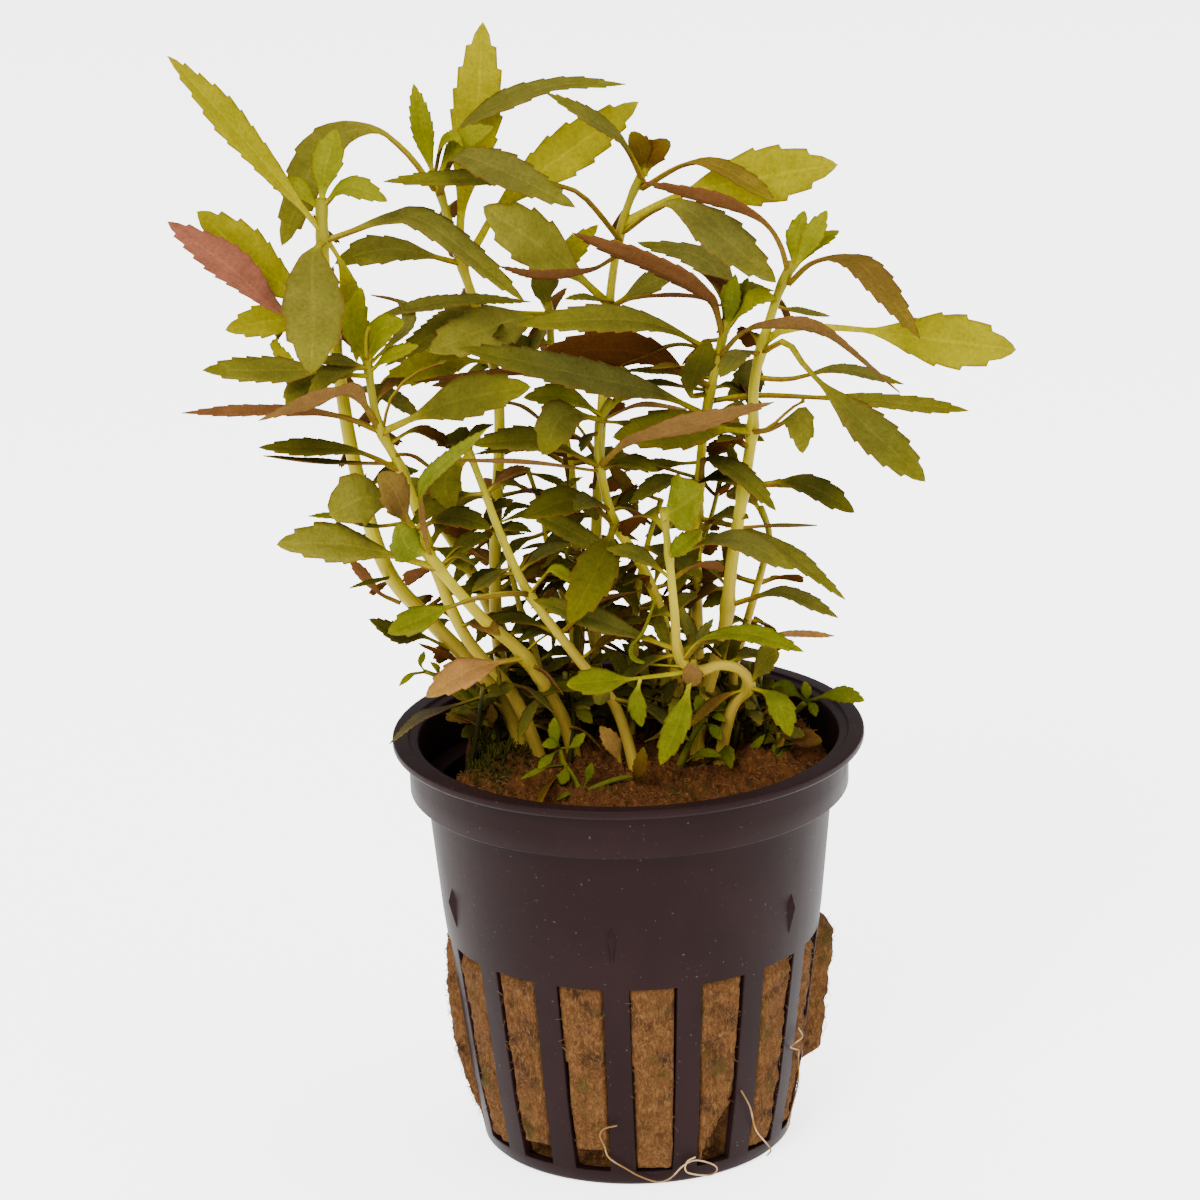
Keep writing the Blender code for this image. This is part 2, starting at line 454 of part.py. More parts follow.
def face_across(chord, turn):
    """Direction across a blade whose upper face turns from the front, at 0, to the sky, at 90, and beyond."""
    direction = chord.normalized()
    across = direction.cross(FRONT).normalized()
    sky_side = 1.0 if across.z >= 0.0 else -1.0
    return Matrix.Rotation(radians(turn * sky_side), 3, direction) @ across


def leaf_bmesh(width, turn, route, stations):
    """A thin closed blade lofted along its midrib, folded a little along the middle."""
    points = smooth_route(route, stations)
    across = face_across(points[-1] - points[0], turn)
    bm = bmesh.new()
    sections = []
    for index, point in enumerate(points):
        share = index / (stations - 1)
        before = points[max(index - 1, 0)]
        after = points[min(index + 1, stations - 1)]
        along = (after - before).normalized()
        side = (across - along * across.dot(along)).normalized()
        up = side.cross(along)
        narrow = PETIOLE_HALF_WIDTH * (1 - share) + TIP_HALF_WIDTH * share
        half = max(narrow, leaf_outline(share) * width / 2)
        thick = PETIOLE_THICKNESS * (1 - share) + LEAF_THICKNESS * share
        if index == stations - 1:
            thick = TIP_HALF_WIDTH
        edge = up * half * LEAF_FOLD
        sections.append([bm.verts.new(place) for place in (
            point - side * half + edge, point - up * thick / 2, point + side * half + edge,
            point + up * thick / 2)])
    for lower, upper in zip(sections, sections[1:]):
        for i in range(4):
            j = (i + 1) % 4
            bm.faces.new((lower[i], lower[j], upper[j]))
            bm.faces.new((lower[i], upper[j], upper[i]))
    for end in (sections[0], sections[-1]):
        bm.faces.new((end[0], end[1], end[3]))
        bm.faces.new((end[1], end[2], end[3]))
    return bm


def build_leaf(name, collection, mat):
    """A separate leaf, which starts just clear of its stem."""
    stem, width, turn, route = LEAVES[name]
    clearance = STEMS[stem][0] + GAP + PETIOLE_HALF_WIDTH + 0.1
    fine = smooth_route(route, 61)
    start = next(i for i, place in enumerate(fine) if distance_to_stem(place, stem) > clearance)
    kept = fine[start::6]
    if (kept[-1] - fine[-1]).length > 0.01:
        kept.append(fine[-1])
    return object_from_bmesh(name, leaf_bmesh(width, turn, kept, LEAF_STATIONS), collection, mat)


def main():
    clear_scene()
    parts = new_collection("potted_limnophila_hippuridoides")
    cutters = new_collection("cutters")
    plastic = material("pot_plastic", (0.05, 0.035, 0.037), 0.45)
    fibre = material("rockwool_fibre", (0.30, 0.17, 0.06), 0.95)
    stem_green = material("stem_green", (0.55, 0.53, 0.15), 0.5)
    leaf_green = material("leaf_green", (0.24, 0.26, 0.04), 0.55)
    build_pot(parts, cutters, plastic)
    build_wool(parts, cutters, fibre)
    stems = {name: build_stem(name, parts, stem_green) for name in STEMS}
    for name in LEAVES:
        build_leaf(name, parts, leaf_green)
    for number, (stem, width, turn, route) in enumerate(SMALL_LEAVES):
        shape = leaf_bmesh(width, turn, route, SMALL_LEAF_STATIONS)
        boolean(stems[stem], object_from_bmesh(f"small_leaf_{number:02d}", shape, cutters, leaf_green), "UNION")


main()
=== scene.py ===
"""Looks of the potted Limnophila hippuridoides: net pot, rockwool, stems, leaves, seedlings and fibres.

Lengths are written in millimetres and scaled to metres where meshes are made.
The origin is the centre of the pot's underside. +Z is up and -Y is the front.
"""
from math import cos, degrees, exp, floor, hypot, pi, radians, sin, sqrt
from random import Random

import bmesh
import bpy
from bpy.props import FloatProperty, FloatVectorProperty, IntProperty, PointerProperty
from mathutils import Matrix, Vector
from mathutils.noise import noise


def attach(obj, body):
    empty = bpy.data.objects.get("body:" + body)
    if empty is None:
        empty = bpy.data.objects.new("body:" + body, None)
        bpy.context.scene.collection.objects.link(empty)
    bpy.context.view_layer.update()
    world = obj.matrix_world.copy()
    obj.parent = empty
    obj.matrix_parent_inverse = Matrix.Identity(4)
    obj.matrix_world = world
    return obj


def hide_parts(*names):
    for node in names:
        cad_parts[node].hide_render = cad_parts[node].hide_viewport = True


bl_info = {
    "name": "Potted Limnophila hippuridoides",
    "version": (1, 0, 0),
    "blender": (4, 5, 0),
    "location": "3D View > Sidebar > Plant",
    "description": "Builds the net pot, the rockwool and the leafy stems around the solid model",
    "category": "Add Mesh",
}

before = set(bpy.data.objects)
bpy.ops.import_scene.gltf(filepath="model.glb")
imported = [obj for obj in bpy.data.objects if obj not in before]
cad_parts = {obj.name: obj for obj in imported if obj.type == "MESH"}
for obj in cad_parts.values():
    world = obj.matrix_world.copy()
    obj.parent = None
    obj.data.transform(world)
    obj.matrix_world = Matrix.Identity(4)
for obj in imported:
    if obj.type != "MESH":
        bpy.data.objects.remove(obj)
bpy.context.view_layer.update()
MM = 0.001

# Net pot
RIM_RADIUS = 27.5
RIM_HEIGHT = 50.0
COLLAR_RADIUS = 25.6
COLLAR_FOOT = 43.5
BODY_RADIUS = 23.7
BASE_RADIUS = 18.2
WALL = 1.1
BASE_THICKNESS = 1.4
SLOT_COUNT = 16
SLOT_PITCH = 360.0 / SLOT_COUNT
RIB_WIDTH = 3.0
SLOT_BOTTOM = 1.9
SLOT_TOP = 26.0
FRONT_SLOT_ANGLE = -90.0 + 5.4
LUG_COUNT = 6
FRONT_LUG_ANGLE = -90.0 - 6.6
LUG_HEIGHTS = (28.0, 35.0)
LUG_WIDTH = 1.7
LUG_RELIEF = 0.7
LUG_SINK = 0.3
LUG_MIDDLE = 0.65
RIDGE_START_RISE = 1.2
RIDGE_START_RELIEF = 0.1
BEVEL_ANGLE = 38
SHARP_ANGLE = 50

# Outlines of the pot as radius and height: tapered wall, underside, collar with its lip, inside of the rim
BODY_TOP = COLLAR_FOOT - 0.3
BODY_WALL = ((BODY_RADIUS, BODY_TOP), (22.3, 29.0), (19.8, 9.5), (BASE_RADIUS, 0.6))
UNDERSIDE = ((0.0, 0.25), (BASE_RADIUS - 3.0, 0.25), (BASE_RADIUS - 2.4, 0.0), (BASE_RADIUS - 0.5, 0.0),
             (BASE_RADIUS, 0.5))
COLLAR = ((BODY_RADIUS, BODY_TOP), (COLLAR_RADIUS - 0.12, COLLAR_FOOT), (COLLAR_RADIUS, COLLAR_FOOT + 0.15),
          (COLLAR_RADIUS + 0.05, 46.0), (COLLAR_RADIUS + 0.1, RIM_HEIGHT - 1.4),
          (RIM_RADIUS - 0.2, RIM_HEIGHT - 1.05), (RIM_RADIUS, RIM_HEIGHT - 0.8),
          (RIM_RADIUS, RIM_HEIGHT - 0.15), (RIM_RADIUS - 0.15, RIM_HEIGHT))
RIM_INSIDE = ((COLLAR_RADIUS + 0.1, RIM_HEIGHT), (COLLAR_RADIUS - 0.1, RIM_HEIGHT - 0.35),
              (COLLAR_RADIUS - WALL + 0.15, RIM_HEIGHT - 0.4), (COLLAR_RADIUS - WALL, RIM_HEIGHT - 0.6),
              (COLLAR_RADIUS - WALL, COLLAR_FOOT), (BODY_RADIUS - WALL, BODY_TOP))

# Rows of the pot's mesh by height, and its columns as shares of half a slot and of a rib
SLOT_ROWS = (SLOT_BOTTOM, 5.0, 9.5, 14.0, 18.0, 22.0, SLOT_TOP)
UPPER_ROWS = (29.0, 35.0)
TOP_ROW = 41.6
GROOVE_ROWS = (42.2, 42.8)
GROOVE_DEPTH = 0.04
SLOT_COLUMNS = (-1.0, -0.5, 0.0, 0.5, 1.0)
RIB_COLUMNS = (0.2, 0.5, 0.8)

# Rockwool plug
WOOL_TOP = 46.0
WOOL_TOP_RADIUS = 24.0
WOOL_CLEARANCE = 0.3
WOOL_NOTCH = 4.5
NOTCH_ANGLE = 175.0
NOTCH_REACH = 26.0
EDGE_ROUGHNESS = 0.5

# Rows and columns of the plug's mesh, and its shoulder as a height or none for the surface, and a share
WOOL_COLUMNS = 352
WOOL_FOOT = BASE_THICKNESS + 0.4
WOOL_SLOT_FOOT = 2.2
WOOL_SLOT_SPACING = 0.42
WOOL_SLOT_ROWS = 57
WOOL_UPPER_ROWS = (28.0, 32.0, 36.0, 40.0, 43.0)
WOOL_EDGE_START = 40.0
WOOL_SHOULDER = ((44.2, 1.0), (45.0, 0.995), (None, 0.97))
SHOULDER_DROP = 0.25
TOP_RINGS = 60
TOP_SHARE = 0.96
GRIT_HEIGHT = 0.45
GRIT_SCALE = 2.9
GRIT_FADE = 4

# The wool in the slots: its face behind the wall, how it rounds off at the edges, and its roughness
FACE_DEPTH = 0.45
EMPTY_DEPTH = 1.3
SLOT_SIDE_MARGIN = 0.15
SLOT_END_MARGIN = 0.1
CHEEK_REACH = 2.0
END_REACH = 1.2
ROUGH_RADIUS = 20.0
COARSE_ROUGHNESS = 0.35
FINE_ROUGHNESS = 0.18

# The slot at the right with a ragged flap of wool: heights between which its foot and its head swell
FLAP_SLOT = 4
FLAP_FOOT = (7.6, 9.4)
FLAP_HEAD = (25.9, 23.5)
FLAP_ROUGHNESS = 0.4

# How far the wool stands out of the wall in a slot, counted from the front one to the right
WOOL_BULGES = {0: 0.4, FLAP_SLOT: 2.2, 8: 0.9, 12: 1.3}

# Slots that the wool doesn't fill: the height where it starts, and its right edge in degrees, low and high up
WOOL_GAPS = {1: (1.9, -5.0, 9.0), 3: (1.9, 2.5, 3.5), 7: (6.0, 9.0, 9.0), 10: (3.5, 1.0, 9.0),
             14: (4.0, 9.0, 9.0), 15: (4.6, 9.0, 9.0)}
NO_GAP = (0.0, 9.0, 9.0)
GAP_HEIGHTS = (2.0, 14.0)

# Hills, each with its middle and its reach both ways: moss and a lump on the wool, a tuft in the front slot
MOSS_PATCHES = ((-17.0, 2.0, 5.5, 7.0), (15.0, 14.0, 6.0, 6.0))
BACK_LUMP = (15.0, 15.0, 4.0, 3.0)
BACK_LUMP_HEIGHT = 1.6
FRONT_TUFT = (4.5, 4.5, 2.2, 2.2)
FRONT_TUFT_HEIGHT = 0.9

# Stems
STEM_FOOT = WOOL_TOP - 3.0
STEM_START = WOOL_TOP + 0.5
STEM_SPACING = 0.8
STEM_AIM = 0.4
FEWEST_RINGS = 6
STEM_FLARE = 1.05
TAPER_POWER = 1.6
JOINT_REACH = 1.1
JOINT_SWELL = 0.30
RIDGE_COUNT = 4
RIDGE_RELIEF = 0.05
STREAK_LENGTH = 12.0
FOOT_TINT_HEIGHTS = (50.0, 78.0)
TOP_TINT = 0.65
TOP_TINT_START = 10.0
TOP_TINT_END = 2.0

# Direction from the plant to the camera, which the faces of the leaves turn from
CAMERA_TILT = radians(18.7)
FRONT = Vector((0.0, -cos(CAMERA_TILT), sin(CAMERA_TILT)))

# Ranges that each leaf draws from
WIDEST_RANGE = (1.0, 1.22)
FOLD_RANGE = (0.10, 0.26)
WAVE_RANGE = (0.03, 0.10)
SHADE_RANGE = (0.90, 1.10)
WARM_RANGE = (0.0, 0.22)

# Blades, as shares of the leaf unless they are widths, depths or thicknesses
LEAF_AIM = 0.02
STALK_STATIONS = 5
FEWEST_TEETH = 3
TOOTH_STATIONS = ((0.0, 0.0), (0.4, 0.45), (0.8, 1.0), (0.95, 0.2))
TOOTH_WIDTH = 5.0
DEEPEST_TOOTH = 1.2
TOOTH_START = (0.2, 0.4)
TOOTH_FADE = (0.0, 0.4)
TOOTH_LEAN = 0.8
THICKEST_STALK = 0.5
STALK_WIDTH = 0.1
TIP_WIDTH = 0.04
TIP_FULLNESS = 0.9
FOOT_FULLNESS = 1.05
WAVE_COUNT = 2.3
FOLD_CURVE = 0.22
MIDRIB_GROOVE = 0.06
MIDRIB_DEPTH = 0.16
EDGE_FLESH = 0.45
BLADE_FLESH = 0.55
STALK_FLESH = 0.35
STALK_FLESH_WIDTH = 3.0
EDGE_THINNING = 0.75
TOP_STALK_BLEND = 0.35
LOW_STALK_BLEND = 0.8
RED_RIM = 0.8
RED_RIM_REACH = 0.35
JOIN_REACH = 0.18
TIP_START = 0.55
TIP_GOLD = 0.18

# Starts of the leaves' random numbers
LEAF_SEEDS = 100
INNER_LEAF_SEEDS = 200
SEEDLING_SEEDS = 4000
FALLEN_LEAF_SEEDS = 5000
GROUP_SEEDS = 20
FILLER_SEEDS = 10000
LOW_SHOOT_SEED = 11
FIBRE_SEED = 7
MOSS_SEED = 5

# Camera, floor and lights: each light's name, place in metres, size and power
CAMERA_TARGET = (-2.9, 0.0, 65.9)
SENSOR_WIDTH = 36.0
NEAR_CLIP = 0.01
FLOOR_REACH = 6.0
FLOOR_CELLS = 8
LIGHT_TARGET = (0.0, 0.0, 0.07)
LIGHTS = (("key", (-0.35, -0.75, 0.75), 0.5, 20.0), ("fill", (0.7, -0.4, 0.35), 0.6, 5.0),
          ("top", (0.05, 0.15, 0.9), 0.6, 10.0))

# Each stem: radius, the foot in the wool, and the places that it passes on its way up
STEMS = {
    "a": (0.9, (-12.5, 5), [(-15.5, 4, 54), (-22.5, 2, 63), (-27.5, -1, 71), (-30.5, -3, 84), (-32, -4, 97),
        (-33, -5, 109), (-33, -5, 116)]),
    "b": (0.7, (-13.5, 10), [(-15, 9, 58), (-15, 9, 69), (-14, 8, 86), (-15, 7, 95), (-17.5, 6, 104),
        (-20.5, 5, 116)]),
    "c": (0.65, (-3.5, 12.5), [(-3.5, 12, 57), (-3, 11, 73), (-1, 10, 98), (1, 9, 109), (3.5, 9, 115)]),
    "d": (0.75, (8, 1.5), [(9, 1, 53), (11.5, 1, 62), (12.5, 1, 70), (15, 1, 85), (15.5, 1, 92),
        (18, 1, 101), (20, 1, 105.5)]),
    "e": (0.65, (8.5, 7.5), [(8.5, 7, 54), (8.5, 7, 69), (9.5, 5, 84), (11.5, 4, 94), (12.5, 4, 98)]),
    "f": (0.65, (5, 4.5), [(6, 4, 53), (4, 2, 64), (1.5, 0, 71), (-1, -1, 75.5), (-2.5, -3, 83),
        (-2.5, -3, 88), (-1, -3, 91)]),
    "g": (0.65, (10.5, -3), [(12, -4, 53.5), (14, -5, 56.5), (13, -6, 59), (10.5, -7, 60), (8, -8, 59.7),
        (6, -9, 62), (5.5, -11, 68.5), (5, -12, 75.5), (4.5, -13, 81)]),
    "h": (0.8, (-6.5, 2.5), [(-8, 1, 52), (-12, -3, 60.5), (-16.5, -7, 66.5), (-21.5, -11, 74.5),
        (-24.5, -11, 79.5), (-25.5, -11, 82.5)]),
    "i": (0.7, (-10.5, 1.5), [(-13.5, 1, 54.5), (-18.5, -2, 62.5), (-21.5, -4, 71), (-23, -5, 77),
        (-25, -6, 84), (-27.5, -7, 90), (-28.5, -8, 98)]),
    "j": (0.65, (-7, 15.5), [(-5.5, 14, 56), (-5.5, 13, 67), (-6, 12.5, 78), (-7.5, 12, 88), (-8, 12, 98.5)]),
    "k": (0.6, (0.5, -3), [(-1.5, -3, 54), (-5.5, -4, 60), (-11, -5, 68.5), (-14, -6, 76), (-16, -7, 82.5),
        (-17.5, -7, 87)]),
    "l": (0.55, (13, 6), [(12.5, 6, 54), (14, 6, 60), (16, 7, 66.5), (17, 7, 71), (16, 7, 74.5)]),
    "n": (0.9, (-12, 14.5), [(-13.5, 13, 54.5), (-17.5, 13, 64.5), (-21.5, 11, 72.5)]),
}

# Each leaf: its stem, its width, the turn of its face from the front, its colours above and below,
# the share of it that is stalk, and its midrib from the stem to the tip
LEAVES = {
    "a1": ("a", 5.0, 50, "gold", "pink", 0.1, [(-33, -5, 112), (-41.5, -8, 124), (-49, -12, 134.5)]),
    "a2": ("a", 6.5, 0, "olive", "pink", 0.15, [(-33, -5, 111), (-34, -11, 110.5), (-34, -14.5, 104.5),
        (-34.5, -15, 98.5)]),
    "a3": ("a", 5.0, 55, "olive", "maroon", 0.1, [(-33, -5, 111), (-25.5, -4, 113), (-21, -5, 112.5),
        (-10.5, -9, 104.5)]),
    "a4": ("a", 5.5, 15, "gold", "pink", 0.1, [(-32, -4, 103), (-37.5, -7, 106.5), (-42, -10, 111.5),
        (-46.5, -13, 117)]),
    "a5": ("a", 4.3, 145, "gold", "rose", 0.2, [(-32, -4, 101.5), (-37.5, -8, 103.5), (-43, -13, 110.5),
        (-49.5, -17, 117)]),
    "b1": ("b", 5.2, 15, "olive", "pink", 0.3, [(-20.5, 5, 114), (-23.5, 4.5, 118.5), (-27.5, 3.5, 121.7),
        (-33, 2, 119.8), (-38, 1, 109)]),
    "b2": ("b", 5.4, 5, "gold", "pink", 0.15, [(-18, 6, 106), (-17.5, 7, 111.5), (-15.5, 8, 122),
        (-14.5, 9, 132.5)]),
    "b3": ("b", 4.5, 60, "olive", "pink", 0.1, [(-20, 5, 114.5), (-16.5, 5, 121.5), (-7.5, 6, 125.3),
        (1.5, 7, 125.3)]),
    "b4": ("b", 4.6, 45, "olive", "maroon", 0.2, [(-20, 5, 113.5), (-18, 0, 119), (-14, -4, 119),
        (-4.5, -8, 115)]),
    "b6": ("b", 5.2, 10, "gold", "pink", 0.25, [(-17.5, 6, 104.5), (-16, 6.5, 107), (-11.5, 8.5, 112.5),
        (3, 12, 122)]),
    "b7": ("c", 6.0, 15, "sunny", "maroon", 0.2, [(-1, 10, 98.5), (-6.5, 6, 105), (-15, 1, 113)]),
    "b9": ("b", 4.5, 45, "olive", "pink", 0.15, [(-18, 6, 105), (-24, 3, 107.5), (-28, 1, 108),
        (-32, 0, 107)]),
    "c2": ("c", 4.0, 65, "bronze", "maroon", 0.3, [(3, 9, 112.5), (8, 6, 116), (12, 4, 116), (18, 0, 113)]),
    "c4": ("c", 6.2, 10, "gold", "pink", 0.3, [(1, 9, 108.5), (8, 8, 112), (17, 7, 114), (25.5, 6, 115.5)]),
    "c5": ("c", 5.0, 30, "olive", "maroon", 0.3, [(1, 9, 107.5), (4.5, 5, 111), (8, 3, 111.5),
        (18, -2, 104)]),
    "c6": ("c", 4.0, 65, "green", "maroon", 0.3, [(0.5, 9, 106.5), (-2.5, 5.5, 111.5), (-5, 4, 114),
        (-12, 1.5, 116), (-26, -4, 117.5)]),
    "d1": ("d", 5.9, 15, "gold", "pink", 0.42, [(16.5, 1, 96), (19.5, 0, 98), (26.5, -2, 98.3),
        (36, -4, 97.3), (45, -5, 96.2)]),
    "d2": ("d", 3.8, 50, "bronze", "maroon", 0.2, [(19.5, 1, 103), (22, -3, 106.5), (25, -7, 108),
        (28, -11, 107.5), (33.5, -16, 101)]),
    "d3": ("d", 4.0, 115, "olive", "maroon", 0.25, [(19.5, 1, 104), (18.5, 0, 108), (16.5, -1, 111),
        (12, -2, 113.5), (3, -5, 117)]),
    "d7": ("d", 4.6, 20, "green", "maroon", 0.42, [(16.5, 1, 95), (19, -4, 97.5), (22, -8, 94.5),
        (34, -15, 84)]),
    "d8": ("e", 4.0, 60, "olive", "maroon", 0.4, [(10, 5, 88), (16, 5.5, 88.5), (27.5, 4, 88), (40, 2, 87)]),
    "e1": ("e", 3.2, 112, "olive", "pink", 0.25, [(11.5, 4, 93.5), (14, 0, 97.5), (17, -4, 99.5),
        (23, -7, 99.5), (31.5, -10, 93)]),
    "e2": ("e", 4.5, 120, "olive", "maroon", 0.1, [(12, 4, 95.5), (11, 3, 100), (9.5, 1.5, 102),
        (5.5, 0, 105), (-5, -4, 111)]),
    "e3": ("e", 4.8, 40, "olive", "maroon", 0.2, [(12, 4, 96), (12.5, 7, 98.5), (10.5, 11, 103),
        (2.5, 15, 104.5)]),
    "e4": ("e", 4.5, 50, "olive", "maroon", 0.1, [(11.5, 4, 94), (2.5, -1, 99.5), (-11.5, -6, 101)]),
    "e5": ("e", 5.0, 140, "deep", "brown", 0.1, [(10.3, 5, 89.8), (7.5, 6, 91), (2.5, 6, 94),
        (-8.5, 6, 94.5)]),
    "e6": ("e", 3.8, 20, "deep", "maroon", 0.3, [(10, 5, 88.8), (8, 1, 90.5), (10, -3.5, 98)]),
    "e9": ("d", 5.2, 30, "deep", "brown", 0.2, [(15, 1, 85.5), (8, -4, 87.5), (-1, -8, 88)]),
    "f1": ("e", 5.0, 45, "green", "pink", 0.15, [(10, 5, 86.3), (4, -4, 92), (-3, -8, 95), (-10, -10, 97.5),
        (-18, -11.5, 100)]),
    "f4": ("f", 4.2, 55, "green", "pink", 0.15, [(-2.5, -3, 83), (-9, -7.5, 87.5), (-17, -11, 88.5)]),
    "f6": ("f", 4.2, 118, "olive", "pink", 0.15, [(-2.5, -3, 83), (0.5, -9, 87.5), (5, -13, 90),
        (17, -19, 95)]),
    "f8": ("f", 4.6, 5, "deep", "pink", 0.2, [(-1, -1, 75.5), (-2.5, -9, 74), (-6.5, -13, 67.5)]),
    "f9": ("f", 4.2, 50, "deep", "brown", 0.15, [(-1, -1, 75.5), (-5, -4, 79.5), (-11.5, -9, 79)]),
    "h1": ("h", 5.2, 40, "sunny", "pink", 0.25, [(-21.5, -11, 74), (-31, -14.5, 78), (-39, -18, 79.5)]),
    "h3": ("h", 5.6, 10, "olive", "pink", 0.2, [(-25, -11, 81), (-29, -14, 83.5), (-33, -17, 82.5)]),
    "h6": ("h", 2.2, (115, 30), "lime", "pink", 0.1, [(-22, -11, 75), (-22.5, -16, 81.5), (-22, -18, 86.5),
        (-15, -18, 92.5)]),
    "h7": ("h", 4.0, 40, "orange", "pink", 0.3, [(-12, -3, 60), (-14.5, -7, 61), (-18, -11, 61.5),
        (-23, -14, 59.5)]),
    "i1": ("i", 4.0, 40, "olive", "pink", 0.25, [(-28.5, -8, 97), (-37, -12, 98), (-46.5, -16, 99.5)]),
    "i5": ("i", 4.2, 120, "olive", "pink", 0.2, [(-27.5, -7, 89.5), (-30, -11, 95), (-33, -13, 95),
        (-40.5, -16, 93.5)]),
    "i6": ("i", 3.4, 112, "deep", "maroon", 0.2, [(-27, -7, 89), (-33.5, -7.5, 91.5), (-49.5, -9, 92.5)]),
    "i7": ("i", 3.6, 60, "deep", "maroon", 0.25, [(-25, -6, 84), (-30.5, -9, 87.5), (-41, -10, 88.5)]),
    "j1": ("j", 6.0, 30, "sunny", "maroon", 0.15, [(-8, 12, 96.5), (-12.5, 4, 98.5), (-21.5, -6, 98)]),
    "i4": ("i", 5.2, 30, "green", "maroon", 0.2, [(-27, -7, 89), (-19, -11, 93.5), (-10, -14, 96)]),
    "k1": ("k", 3.2, (110, 25), "lime", "pink", 0.6, [(-11, -5, 68.5), (-13.5, -9, 70), (-18, -12.5, 70.5),
        (-27, -16, 68)]),
    "old": ("a", 1.6, 55, "withered", "withered", 0.3, [(-15, 4, 53.5), (-20.5, -2, 54), (-24, -7, 54.5),
        (-27.5, -10, 52.5)]),
}

